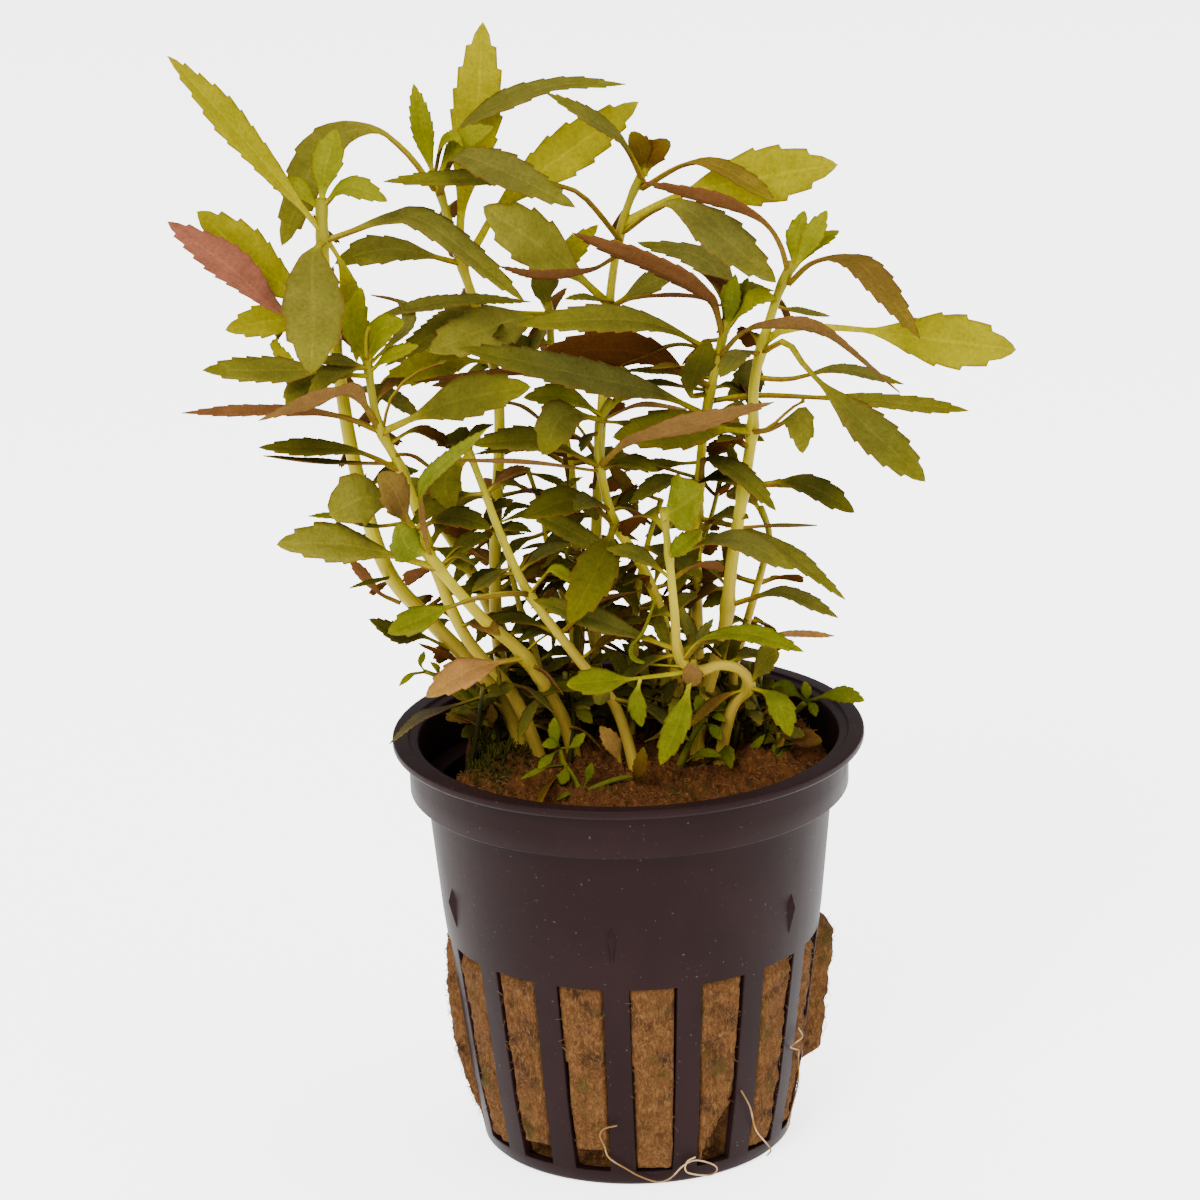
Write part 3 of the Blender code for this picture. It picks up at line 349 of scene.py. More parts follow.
# Small leaves that belong to their stem's own piece: stem, width, turn, colours, stalk and midrib
SMALL_LEAVES = [
    ("a", 3.4, 10, "crown", "pink", 0.1, [(-33, -5, 115), (-32.5, -5, 119), (-31, -5, 124)]),
    ("a", 3.0, 40, "crown", "pink", 0.1, [(-33, -5, 115), (-30, -6, 117.5), (-25.5, -7, 116)]),
    ("a", 3.0, 40, "crown", "pink", 0.1, [(-33, -5, 114.5), (-36, -4, 117), (-38.5, -3, 117)]),
    ("a", 4.0, 30, "gold", "pink", 0.2, [(-32, -4, 99.5), (-37.5, -2.5, 101.2), (-44.5, -4.5, 100.8)]),
    ("b", 2.4, 10, "crown", "pink", 0.1, [(-20.5, 5, 115), (-21.5, 5, 120), (-22.5, 5, 126.5)]),
    ("b", 2.8, 30, "crown", "pink", 0.1, [(-20.5, 5, 115), (-17.5, 2, 120), (-13.5, 0, 122.5)]),
    ("c", 2.8, 20, "brown", "maroon", 0.1, [(3.5, 9, 114), (3, 8.5, 117), (2, 8, 119.5)]),
    ("c", 2.8, 20, "brown", "maroon", 0.1, [(3.5, 9, 114), (4.5, 9, 116.5), (6.5, 9, 118)]),
    ("c", 3.0, 60, "olive", "maroon", 0.2, [(3.5, 9, 113), (1.5, 6, 118), (-1, 4, 121), (-7.5, 1, 126)]),
    ("c", 4.0, 50, "olive", "maroon", 0.2, [(-1, 10, 98), (3, 8, 101), (7, 7, 103)]),
    ("d", 2.4, 20, "crown", "pink", 0.1, [(20, 1, 104.5), (22, 1, 108), (24, 1, 111.5)]),
    ("d", 2.4, 20, "crown", "pink", 0.1, [(20, 1, 104.5), (20.5, 2, 108), (21.5, 3, 111)]),
    ("d", 2.6, 40, "crown", "pink", 0.1, [(20, 1, 104.5), (22.5, 3, 107), (25.5, 5, 108)]),
    ("d", 4.0, 50, "deep", "maroon", 0.25, [(14.5, 1, 79), (20.5, -2, 80), (26.5, -4, 77)]),
    ("d", 3.0, 60, "olive", "maroon", 0.2, [(12, 1, 64.5), (16, 0, 66), (19, -1, 66.3), (24.5, -3, 64)]),
    ("e", 2.4, 20, "crown", "pink", 0.1, [(12.5, 4, 97), (12.8, 4, 100), (13.5, 4, 103)]),
    ("e", 3.4, 60, "green", "maroon", 0.15, [(9.1, 5.8, 78), (10, 2.5, 82), (14, -2.5, 81),
        (17.5, -4, 77.5)]),
    ("e", 3.4, 60, "olive", "maroon", 0.25, [(8.8, 6.4, 73.5), (16, 3.5, 72), (25.5, 0.5, 65)]),
    ("f", 2.6, 20, "crown", "pink", 0.1, [(-1, -3, 90), (0, -3, 91.5), (2, -4, 94)]),
    ("f", 3.0, 40, "crown", "pink", 0.1, [(-2, -3, 89), (-6, -5, 92), (-11, -6.5, 92.5)]),
    ("f", 4.4, 10, "green", "pink", 0.2, [(-2, -3, 88.5), (-6.5, -9, 91), (-9, -14, 88)]),
    ("g", 6.0, 20, "lime", "pink", 0.1, [(4.5, -13, 80), (6.5, -17, 82.5), (9, -21, 85.5)]),
    ("g", 3.4, 45, "olive", "pink", 0.2, [(5, -12, 75), (12, -15.5, 78), (19, -18, 75)]),
    ("g", 3.4, 40, "green", "pink", 0.15, [(6, -9, 62.5), (-3, -9.5, 66.5), (-10.5, -10, 69.5)]),
    ("g", 3.0, 55, "lime", "pink", 0.2, [(6.5, -9, 61.5), (9, -12, 65), (14, -14, 66), (20, -16, 64.5)]),
    ("g", 3.2, 30, "lime", "pink", 0.2, [(7.5, -8, 59.7), (6, -12, 55.5), (3.5, -14, 50.5)]),
    ("g", 3.4, 30, "lime", "pink", 0.5, [(8, -8, 59.7), (1, -9.5, 59.5), (-7, -11, 59.5)]),
    ("g", 3.0, 30, "olive", "maroon", 0.2, [(14, -5, 56.5), (16, -7, 60.5), (17.5, -9, 62)]),
    ("g", 3.0, 30, "lime", "pink", 0.2, [(14, -5, 56.5), (17, -8, 56), (18.5, -11, 52.5)]),
    ("h", 4.2, 30, "pink", "pink", 0.35, [(-22.5, -11, 76), (-24.5, -12, 80), (-26, -14, 84.5),
        (-27.5, -15, 86.5)]),
    ("h", 3.4, 50, "deep", "maroon", 0.2, [(-24, -11, 78.5), (-19.5, -12.5, 80.5), (-15, -14, 79.5)]),
    ("i", 3.4, 30, "crown", "pink", 0.1, [(-28.5, -8, 97), (-27, -8, 101), (-24, -9, 102.5)]),
    ("i", 3.4, 30, "crown", "pink", 0.1, [(-28.5, -8, 97), (-30, -5, 101), (-29, -3, 105)]),
    ("j", 3.2, 20, "green", "maroon", 0.1, [(-8, 12, 97.5), (-8.5, 12, 100), (-8, 12, 103)]),
    ("k", 3.4, 30, "deep", "maroon", 0.1, [(-17.5, -7, 86), (-18.5, -4, 87), (-21, -1, 86)]),
    ("l", 2.6, 30, "maroon", "maroon", 0.1, [(16, 7, 74), (14.5, 7, 76), (12, 7, 76)]),
    ("n", 3.0, 30, "olive", "maroon", 0.1, [(-21.5, 11, 72), (-23.5, 11, 76), (-26.5, 11, 77)]),
]

# Thin stems at the back: radius, foot in the wool and the places that they pass
THIN_STEMS = {
    "o": (0.4, (-5, 11), [(-6, 11, 56), (-8, 11, 66), (-9, 10, 70), (-9.5, 10, 74), (-11, 10, 79)]),
    "p": (0.4, (-3, 12), [(-4, 12, 57), (-6.5, 12, 67), (-8.5, 12, 74)]),
    "q": (0.4, (7, 11), [(7.5, 11, 57), (8.5, 11, 66), (10.5, 10, 73), (11.5, 10, 77)]),
    "r": (0.45, (0.5, 9), [(1, 9, 56), (1.5, 8, 64), (3, 7, 71), (4.5, 6, 76)]),
    "s": (0.4, (-9, 9), [(-10.5, 9, 56), (-12.5, 9, 63), (-13.5, 8, 69), (-14, 7, 73)]),
}

# Leaves past the number of the solid model's nodes, in the same order of values
MORE_LEAVES = [
    ("a", 2.6, 10, "gold", "pink", 0.15, [(-32.5, -4.5, 111), (-31, -2, 107), (-30, 0, 100.5), (-30, 1, 95)]),
    ("a", 2.0, 125, "orange", "maroon", 0.2, [(-26, 0.5, 66), (-29, 0, 68), (-31.5, -2, 72.5)]),
    ("a", 2.3, 30, "deep", "brown", 0.3, [(-20, 3, 59), (-23.5, 0, 62), (-26.5, -3, 63.5), (-29.5, -5, 66)]),
    ("a", 1.8, 110, "maroon", "brown", 0.2, [(-17.5, 3.5, 56.5), (-21.5, 1, 59.5), (-24, -1, 61.5)]),
    ("a", 1.1, 60, "lime", "pink", 0.1, [(-26.5, 0, 69.5), (-29, -5, 70.5), (-31.5, -7, 70.5)]),
    ("b", 1.6, 50, "crown", "pink", 0.1, [(-20.5, 5, 116), (-19.5, 2, 120), (-18, 0, 121.5),
        (-17, -1, 120.5)]),
    ("c", 1.8, 118, "olive", "maroon", 0.2, [(0, 9.5, 104.5), (-3.5, 3, 104.5), (-9, 0, 105),
        (-13.5, -1, 106.5)]),
    ("c", 1.2, 100, "olive", "maroon", 0.3, [(-0.5, 9.5, 98.5), (2.5, 6, 100.5), (8.5, 4, 101),
        (12.5, 2, 100)]),
    ("c", 1.6, 60, "olive", "maroon", 0.2, [(-0.5, 9.5, 99), (-3.5, 6, 100.5), (-6, 4, 101)]),
    ("d", 1.4, 60, "olive", "pink", 0.2, [(18, 1, 101), (18.5, 2, 100), (21, 5, 98.5), (24.5, 8, 97)]),
    ("d", 3.0, 60, "olive", "maroon", 0.4, [(15.5, 1, 92), (19.5, 5, 90.5), (25.5, 8, 90.5), (33, 10, 88)]),
    ("d", 3.2, (70, 10), "olive", "pink", 0.4, [(15, 1, 85.5), (17, -3, 87), (20, -6, 89), (20.5, -8, 85.5)]),
    ("d", 0.8, 60, "olive", "maroon", 0.9, [(15, 1, 85.5), (17, 1, 86), (19.5, 0, 88.5), (21, -2, 90)]),
    ("d", 2.4, 60, "olive", "maroon", 0.2, [(14.5, 1, 79), (19, 4, 78), (22, 6, 77.5)]),
    ("d", 1.2, 80, "olive", "maroon", 0.2, [(13.5, 1, 74), (17.5, 3, 73.5), (22.5, 4, 73)]),
    ("d", 1.8, 30, "deep", "maroon", 0.2, [(12.2, 1, 66.5), (11.5, 4, 65), (9, 5, 63)]),
    ("d", 1.8, 60, "orange", "maroon", 0.45, [(10.8, 1, 59.5), (15, 4, 59.5), (18.5, 6, 59), (24.5, 8, 58)]),
    ("d", 3.6, 15, "olive", "maroon", 0.1, [(16, 1.5, 94.5), (15.5, 7, 90.5), (12.5, 10, 86.5)]),
    ("e", 1.6, 60, "green", "maroon", 0.25, [(10.5, 4.5, 91), (4, 8, 91), (0.5, 10, 90.5)]),
    ("e", 1.5, 60, "deep", "maroon", 0.25, [(10.5, 4.5, 89.5), (4.5, 8, 89.5), (1, 10, 89)]),
    ("e", 2.0, 10, "lime", "crown", 0.1, [(12.5, 4, 96.5), (13, 3, 100.5), (13.5, 2, 104)]),
    ("e", 1.8, 20, "lime", "crown", 0.1, [(12.5, 4, 96.5), (14, 4, 100.5), (15, 4, 103)]),
    ("e", 2.4, 40, "crown", "pink", 0.1, [(12.5, 4, 97), (15.5, 2, 101), (18, 0, 101.5)]),
    ("e", 2.2, 40, "olive", "pink", 0.1, [(12.5, 4, 97), (15, 6, 101), (18, 7, 100.5)]),
    ("e", 2.6, 130, "olive", "maroon", 0.1, [(12, 4, 97), (12.5, 6, 100.5), (11.5, 6, 102), (10, 4, 103.5)]),
    ("e", 1.4, 70, "olive", "maroon", 0.1, [(11.5, 4, 94), (7, 5, 95), (2.5, 7, 93), (-2, 8, 91)]),
    ("e", 1.8, 30, "olive", "pink", 0.15, [(9.8, 5, 85), (13, 4, 85), (16.5, 2, 84)]),
    ("e", 1.4, 70, "olive", "maroon", 0.3, [(9, 6, 78.5), (5, 4, 80.5), (0, 2, 83)]),
    ("e", 1.8, 40, "deep", "brown", 0.2, [(9.2, 5.8, 80.5), (3.5, 8, 79.5), (0.5, 9, 79.5)]),
    ("f", 1.0, 115, "pink", "pink", 0.1, [(-2.5, -3, 82.5), (-9.5, -9, 85.5), (-16, -14, 87.5),
        (-20, -17, 88.5)]),
    ("f", 1.2, 118, "pink", "pink", 0.2, [(-2.3, -3, 88.5), (2, -4, 90.5), (7.5, -6, 90.5)]),
    ("f", 0.8, 60, "olive", "olive", 0.9, [(-2.5, -3, 84), (-4.5, -3, 87.5), (-6.5, -3, 90)]),
    ("f", 2.6, 20, "green", "pink", 0.1, [(0.8, -0.3, 72), (-2.5, -2, 73), (-7.5, -4, 76.5),
        (-11, -5, 78.5)]),
    ("f", 1.5, 45, "deep", "brown", 0.15, [(-2.5, -3, 83), (-7, 0, 84.5), (-12, 2, 84), (-17, 3, 83)]),
    ("g", 2.2, 15, "lime", "pink", 0.1, [(5, -12, 75), (6, -14, 76.5), (8.8, -15, 79)]),
    ("g", 1.6, 30, "green", "pink", 0.15, [(5.8, -9, 62), (4.5, -6, 62.5), (3, -2, 66.5)]),
    ("g", 0.9, 40, "lime", "lime", 0.1, [(6.5, -8.8, 60.5), (1.5, -8, 61), (0.5, -9, 63), (2, -10, 65.5),
        (3.5, -10, 69.5)]),
    ("g", 2.1, 20, "lime", "pink", 0.15, [(1.5, -9.5, 59.5), (1, -11, 57.5), (1.5, -12, 54.5)]),
    ("g", 1.4, 40, "green", "pink", 0.2, [(7.5, -8, 60), (8.5, -9, 64), (10, -8, 66)]),
    ("g", 1.4, 30, "green", "maroon", 0.2, [(8, -7.5, 60), (7.5, -3, 62), (6, -2, 66.5)]),
    ("g", 2.4, 10, "pink", "pink", 0.0, [(7.6, -8.8, 61.4), (7.4, -9.2, 60), (7.8, -9, 58.2)]),
    ("h", 1.7, 60, "lime", "pink", 0.15, [(-24.5, -11, 79.5), (-28.5, -12, 79.5), (-32, -13, 81),
        (-35.5, -14, 81.5)]),
    ("h", 3.8, 5, "lime", "pink", 0.15, [(-22, -11, 75.5), (-24.5, -14, 77.5), (-25.5, -16, 81)]),
    ("h", 1.2, 50, "deep", "maroon", 0.4, [(-21, -10.5, 74), (-18.5, -8, 75.5), (-15.5, -6, 73)]),
    ("h", 1.2, 50, "green", "maroon", 0.3, [(-21, -10.5, 74), (-19, -10, 75), (-17, -9, 73.5)]),
    ("h", 0.8, 40, "lime", "lime", 0.8, [(-12, -3, 60.5), (-10, -3.5, 62.5), (-8, -3, 63.5)]),
    ("i", 1.8, 15, "gold", "pink", 0.1, [(-28.5, -8, 96), (-36, -7, 96), (-38, -5, 97.5), (-39, -4, 99),
        (-38, -3, 100)]),
    ("i", 2.8, 15, "olive", "pink", 0.1, [(-28.5, -8, 96), (-34, -9, 96.5), (-36.5, -11, 95.5),
        (-37.5, -11.5, 93)]),
    ("i", 1.7, 40, "green", "pink", 0.1, [(-28.5, -8, 97), (-31.5, -10, 98.5), (-33.5, -11, 98.5)]),
    ("i", 2.6, 35, "green", "pink", 0.1, [(-28.5, -8, 97), (-32, -11, 97.5), (-35, -13, 95.5)]),
    ("i", 2.0, 40, "crown", "pink", 0.1, [(-28.2, -8, 96.5), (-26, -9, 98.5), (-22.5, -10, 100)]),
    ("i", 1.5, 70, "deep", "maroon", 0.2, [(-25.5, -6, 85), (-34, -8, 86), (-40.5, -10, 87.5)]),
    ("i", 0.8, 60, "olive", "maroon", 0.9, [(-27, -7, 89.5), (-26, -9, 93.5), (-23.5, -8, 96),
        (-19.5, -6, 97)]),
    ("i", 2.6, 45, "olive", "maroon", 0.12, [(-28.5, -8, 98), (-28, -7, 101.5), (-24, -4, 102.5),
        (-17, 1, 102), (-10, 5, 100.5)]),
    ("i", 1.8, 30, "olive", "pink", 0.1, [(-28, -8, 97.5), (-24, -5, 101), (-24.5, -3, 103),
        (-28, -1, 103.5)]),
    ("i", 2.3, 40, "brown", "brown", 0.2, [(-26.3, -6.5, 87.5), (-23, -5, 88.5), (-18.5, -2, 85)]),
    ("j", 2.8, 10, "gold", "pink", 0.15, [(-8, 12, 97), (-8.5, 13, 100.5), (-2, 14, 107)]),
    ("j", 3.6, 15, "gold", "pink", 0.4, [(-7.6, 12, 90), (-15.5, 10, 92), (-20, 4, 94), (-23.5, 2, 93.5),
        (-27.5, 0, 92.5)]),
    ("j", 2.6, 100, "deep", "maroon", 0.1, [(-7.6, 12, 90), (-16, 3, 92.5), (-23.5, -1, 93)]),
    ("j", 3.0, 25, "olive", "pink", 0.1, [(-8, 12, 97), (-17, 6, 99), (-21.5, -1, 98.5), (-26.5, -6, 96.5)]),
    ("j", 2.6, 25, "green", "pink", 0.1, [(-7.8, 12, 93.5), (-12.5, 6, 95.5), (-16, 2, 96)]),
    ("k", 3.8, 10, "deep", "brown", 0.1, [(-17.3, -7, 86), (-20, -9, 84), (-19.5, -10, 80.5)]),
    ("k", 1.5, 45, "deep", "maroon", 0.1, [(-17.3, -7, 86), (-16.5, -6, 88.5), (-14.5, -5, 89)]),
    ("k", 2.0, 10, "olive", "pink", 0.1, [(-3, -3.3, 57), (-3, -4.5, 56), (-3.5, -5, 54.8)]),
    ("k", 1.7, 40, "green", "pink", 0.15, [(-12.5, -5.5, 72), (-14.5, -6, 71.5), (-17.5, -8, 70)]),
    ("k", 1.5, 30, "lime", "pink", 0.5, [(-11, -5, 68.5), (-9.5, -7, 71), (-8, -8, 72.5), (-5.5, -9, 71)]),
    ("k", 1.0, 30, "deep", "maroon", 0.1, [(-14.5, -6, 77.5), (-11, -4, 78), (-7.5, -2, 78.5)]),
    ("k", 1.4, 30, "deep", "brown", 0.15, [(-15, -6.3, 78.5), (-14, -4, 79), (-12.5, -3, 79.3)]),
    ("k", 1.3, 30, "deep", "brown", 0.15, [(-14.2, -6, 76.5), (-12, -3, 76), (-10.5, -2, 75)]),
    ("k", 1.6, 30, "brown", "maroon", 0.1, [(-5.5, -4, 60), (-0.5, -3, 63), (2, -3, 61)]),
    ("k", 1.4, 30, "deep", "brown", 0.1, [(-6.5, -4, 61.5), (-9.5, -3, 63.5), (-12.5, -4, 62.5)]),
    ("o", 1.1, 40, "deep", "maroon", 0.1, [(-11, 10, 78.5), (-12, 6, 79.5), (-13.5, 4, 79.5)]),
    ("o", 1.1, 40, "deep", "maroon", 0.1, [(-11, 10, 78.5), (-8, 9, 77.8), (-6, 8, 77)]),
    ("o", 1.1, 40, "deep", "maroon", 0.1, [(-9.5, 10, 74), (-12.5, 5, 76), (-14, 3, 75)]),
    ("o", 1.2, 40, "brown", "maroon", 0.1, [(-8, 11, 66), (-9.5, 6, 68), (-12, 5, 67)]),
    ("o", 1.4, 40, "brown", "maroon", 0.1, [(-8, 11, 66), (-5.5, 5, 67.5), (-4, 4, 65.5)]),
    ("p", 1.1, 40, "olive", "maroon", 0.1, [(-8.5, 12, 74), (-7, 8, 77), (-4.5, 6, 79)]),
    ("p", 1.6, 40, "deep", "maroon", 0.1, [(-6, 12, 65.5), (-8.5, 7, 65), (-11, 6, 63)]),
    ("q", 1.6, 40, "olive", "maroon", 0.1, [(11.5, 10, 77), (13, 9, 80), (12, 8, 83)]),
    ("q", 1.6, 40, "deep", "maroon", 0.1, [(8.5, 11, 66), (5.5, 8, 68), (3, 7, 67)]),
    ("r", 1.4, 40, "deep", "maroon", 0.1, [(4.5, 6, 76), (1.5, 2, 78), (-1.5, 2, 76)]),
    ("r", 1.8, 60, "deep", "brown", 0.1, [(1.5, 8, 64), (-1.5, 3, 65), (-4.5, 2, 63)]),
    ("s", 2.0, 30, "green", "maroon", 0.1, [(-14, 7, 73), (-15.5, 4, 75), (-15, 2, 78)]),
    ("s", 2.0, 30, "green", "maroon", 0.1, [(-12, 9, 61), (-15.5, 5, 62), (-17.5, 3, 60)]),
]

# Seedlings on the wool: the radius of each stem, its places from its foot, and its leaves,
# with their values in the same order
SEEDLINGS = {
    "left": (0.28, [(-5.5, -9.3, 45), (-6.5, -9, 47.5), (-7.5, -9, 49), (-8, -9, 51)], [
        (1.4, 10, "green", "lime", 0.1, [(-8, -9, 51), (-8.5, -9, 52.5), (-8.5, -8, 54.5)]),
        (1.3, 30, "lime", "lime", 0.3, [(-8, -9, 51), (-6.5, -9.5, 51.5), (-5, -9.5, 53)]),
        (1.3, 40, "green", "lime", 0.2, [(-8, -9, 51), (-8.5, -10, 52), (-10, -10.5, 52)]),
        (1.2, 30, "lime", "lime", 0.2, [(-8, -9, 51), (-9, -10, 50.5), (-10.5, -11.5, 49.5)]),
        (0.8, 50, "lime", "lime", 0.4, [(-7.3, -9, 49), (-9.5, -11, 49.5), (-12.5, -12.5, 48.7)]),
        (1.5, 20, "lime", "lime", 0.2, [(-7.3, -9, 49), (-7.5, -10, 48.2), (-8, -10.5, 47.2)]),
        (1.0, 20, "green", "lime", 0.3, [(-5.5, -9.3, 45.8), (-4.8, -9.3, 47.5), (-4.3, -9, 49.2)]),
        (0.8, 60, "green", "lime", 0.3, [(-5.5, -9.3, 45.8), (-7, -11, 46.3), (-8.5, -12.5, 46)]),
    ]),
    "runner": (0.3, [(-5.5, -9.3, 45.6), (-3, -9, 46.6), (-1, -8, 46.8), (0.8, -5.5, 45.8)], [
        (1.6, 10, "brown", "brown", 0.2, [(0, -7.5, 46.3), (1, -9.5, 48), (1.7, -9, 51)]),
    ]),
    "middle": (0.35, [(5.5, -2, 45), (7, -3, 49), (8, -3.5, 51), (9, -4, 52.7)], [
        (1.5, 10, "green", "lime", 0.15, [(9, -4, 52.7), (8.5, -4.5, 53.7), (8, -4.5, 55.5)]),
        (1.6, 30, "green", "lime", 0.15, [(9, -4, 52.7), (10, -3.5, 53.7), (11.3, -2.5, 54)]),
        (1.0, 40, "lime", "lime", 0.2, [(9, -4, 52.7), (7, -5, 53.2), (5.3, -6, 53.7)]),
        (1.0, 40, "green", "lime", 0.2, [(9, -4, 52.7), (10, -5, 53.2), (11.3, -6, 52.7)]),
        (1.3, 20, "lime", "lime", 0.2, [(8.7, -4, 52), (9.7, -5, 51.7), (10.7, -6.2, 50.5)]),
        (1.0, 20, "lime", "lime", 0.1, [(9, -4, 52.7), (8.8, -5, 53.5), (9.3, -6, 53.5)]),
        (1.2, 40, "lime", "lime", 0.25, [(6, -2, 46), (8.5, -3.5, 48), (10.8, -4.5, 47.9)]),
        (1.8, 20, "deep", "green", 0.2, [(8.5, -2.5, 46.2), (11.2, -4.5, 48.3), (11.8, -6.5, 47.1)]),
    ]),
    "right": (0.38, [(17, 9.5, 45), (18.5, 7, 48), (20, 6, 49.7), (21, 5, 51)], [
        (2.0, 30, "green", "lime", 0.2, [(21, 5, 51), (19, 4.5, 52.7), (16.8, 4, 53.3)]),
        (1.2, 10, "lime", "lime", 0.1, [(21, 5, 51), (21, 4.5, 52.2), (20.8, 5, 53.5)]),
        (1.1, 10, "green", "lime", 0.1, [(21, 5, 51), (21.6, 4, 50.8), (22, 3, 49.8)]),
        (2.1, 35, "lime", "lime", 0.2, [(21, 5, 51), (24.5, 2.5, 52.7), (27.6, 0.5, 52.5)]),
        (2.0, 10, "lime", "lime", 0.15, [(18.3, 4, 48.3), (18, 0.5, 47.5), (17, -2, 45.7)]),
        (1.9, 55, "deep", "green", 0.15, [(11, 7.5, 45.8), (14.5, 6, 47.6), (18.5, 5, 47)]),
        (1.0, 20, "green", "lime", 0.1, [(12, 1, 46), (14, 0, 46.7), (16, 1, 48.5)]),
    ]),
    "tuft": (0.3, [(-13, 9, 45), (-13.5, 8.5, 47.5), (-14, 8, 49)], [
        (1.7, 35, "deep", "green", 0.15, [(-14, 8, 49), (-15.5, 6.5, 49), (-17, 5.5, 49)]),
        (1.6, 25, "deep", "green", 0.15, [(-14, 8, 48), (-15, 6, 47.8), (-16, 5, 47.3)]),
        (1.5, 15, "deep", "green", 0.15, [(-14, 8, 49), (-14.5, 7, 50.5), (-15, 7, 52)]),
        (1.6, 15, "deep", "green", 0.15, [(-14, 8, 49), (-13, 7, 50.5), (-12.5, 7, 52)]),
        (1.5, 30, "deep", "green", 0.15, [(-13.8, 8, 48.5), (-11.5, 7, 50), (-10.3, 6.5, 51)]),
        (1.3, 40, "green", "green", 0.15, [(-13.8, 8, 48.5), (-11.5, 5.5, 49), (-9.5, 4.5, 49.3)]),
        (1.4, 40, "deep", "green", 0.15, [(-13.5, 8, 47.5), (-12.5, 5.5, 47.3), (-11, 4, 46.8)]),
    ]),
    "shoot": (0.3, [(-17, 8, 45), (-17.5, 7, 50), (-19.5, 5, 54), (-22, 3, 56), (-23.5, 2, 57)], [
        (0.8, 40, "crown", "pink", 0.2, [(-23.5, 2, 57), (-25, 1, 57), (-26.5, 0, 56)]),
        (0.8, 20, "crown", "pink", 0.2, [(-23.5, 2, 57), (-24, 2, 58), (-23.5, 2, 59.5)]),
        (0.7, 30, "crown", "pink", 0.2, [(-22, 3, 56), (-22, 1.5, 57.5), (-22.8, 1, 58.5)]),
    ]),
}

# Dead leaves that lie on the wool, in the same order of values
FALLEN_LEAVES = [
    (2.6, 70, "brown", "brown", 0.1, [(-7.5, -5, 46.8), (-9, -10, 47.3), (-10.5, -16, 47.2),
        (-10.8, -20, 46.6)]),
    (2.4, 30, "maroon", "maroon", 0.1, [(-16, 12, 47), (-19, 10.5, 48.5), (-21.5, 9, 48.5)]),
    (1.8, 30, "maroon", "maroon", 0.1, [(-12, 10, 47.5), (-13.5, 9.5, 51), (-15.5, 9, 53)]),
    (2.0, 10, "orange", "orange", 0.05, [(-1, -2, 46.5), (-1.8, -2.5, 49), (-3.3, -3, 51.5)]),
    (1.4, 30, "orange", "brown", 0.1, [(2, 4, 46.8), (5, 6, 47.5), (7.5, 9, 47.2)]),
    (1.6, 40, "maroon", "brown", 0.1, [(-3, 14, 46.8), (1, 15, 47.6), (4.5, 17, 47.2)]),
]

# Leaf colours whose stalks have red-brown edges
RED_STALKS = ("sunny", "olive", "green", "deep", "bronze")

# Small shaded leaves between the others: their colours above and below, and how far the bunch reaches
FILLER_COLOURS = (("deep", "brown"), ("green", "maroon"), ("olive", "maroon"), ("maroon", "brown"),
                  ("green", "brown"))
FILLER_TOP = 96.0
FILLER_LEFT = (-14.0, -30.0)
FILLER_RIGHT = (11.0, 17.0)
FILLER_FRONT = -11.0
FILLER_BACK = 22.0

# Pairs of small leaves: start, spacing and turn of the pairs, and slope, length, width and face of a leaf
PAIR_START = (3.0, 6.0)
PAIR_SPACING = (4.0, 7.0)
PAIR_END = 2.0
PAIR_TURN = (-0.3, 0.3)
PAIR_SLOPE = (-0.7, 0.5)
PAIR_SIZE = (5.0, 10.0)
PAIR_WIDTH = (0.22, 0.34)
PAIR_FACE = (25.0, 90.0)
PAIR_ARCH = 0.14
PAIR_STALK = 0.15

# Leaves that point to the back: how widely they spread low and high up, and the same values
BACK_START = 12.0
BACK_DENSE_TOP = 84.0
BACK_SPREAD = (-1.0, 1.0)
LOW_SPREAD = 0.7
HIGH_SPREAD = 0.2
BACK_SLOPE = (-0.2, 0.2)
BACK_SIZE = (8.0, 14.0)
BACK_WIDTH = (0.24, 0.34)
BACK_FACE = (50.0, 110.0)
BACK_ARCH = (0.05, 0.2)
BACK_STALK = 0.2
BACK_LIMIT = FILLER_BACK + 3.0

# Dark low shoots, whose dark colour is partly painted shade: how far out they stand, how they rise, and their
# leaves
SHOOT_RADIUS = 0.28
SHOOT_REACH = 19.0
SHOOT_FORWARD = 1.5
SHOOT_SINK = 0.8
SHOOT_HEAD = ((-2.0, 2.0), (-1.5, 1.0), (3.5, 12.0))
SHOOT_WAIST = (-0.5, 0.5)
SHOOT_LEAVES = (5, 9)
SHOOT_LEAF_SIZE = (2.6, 5.6)
SHOOT_LEAF_SLOPE = (-0.2, 0.6)
SHOOT_LEAF_WIDTH = (0.3, 0.46)
SHOOT_LEAF_FACE = (10.0, 70.0)
SHOOT_LEAF_ARCH = 0.3
SHOOT_LEAF_STALK = 0.15

# Fuzz of the wool, and moss: margins to the edges, and the ranges of each thread
FUZZ_SINK = 0.1
FUZZ_EDGE = 0.6
FUZZ_FOOT = 1.0
FUZZ_HEAD = 0.6
FUZZ_SIDE = 0.02
FUZZ_FLATNESS = 0.8
FUZZ_BEND = 0.35
FUZZ_RISE = (0.15, 0.35)
FUZZ_TIP_LEAN = (0.3, 0.8)
FUZZ_TIP_RISE = (-0.1, 0.25)
TOP_FUZZ_RADIUS = (0.03, 0.055)
SIDE_FUZZ_RADIUS = (0.018, 0.035)
MOSS_EDGE = 0.8
MOSS_LEAN = (-0.6, 0.6)
MOSS_RISE = (0.6, 2.2)
MOSS_RADIUS = (0.06, 0.13)

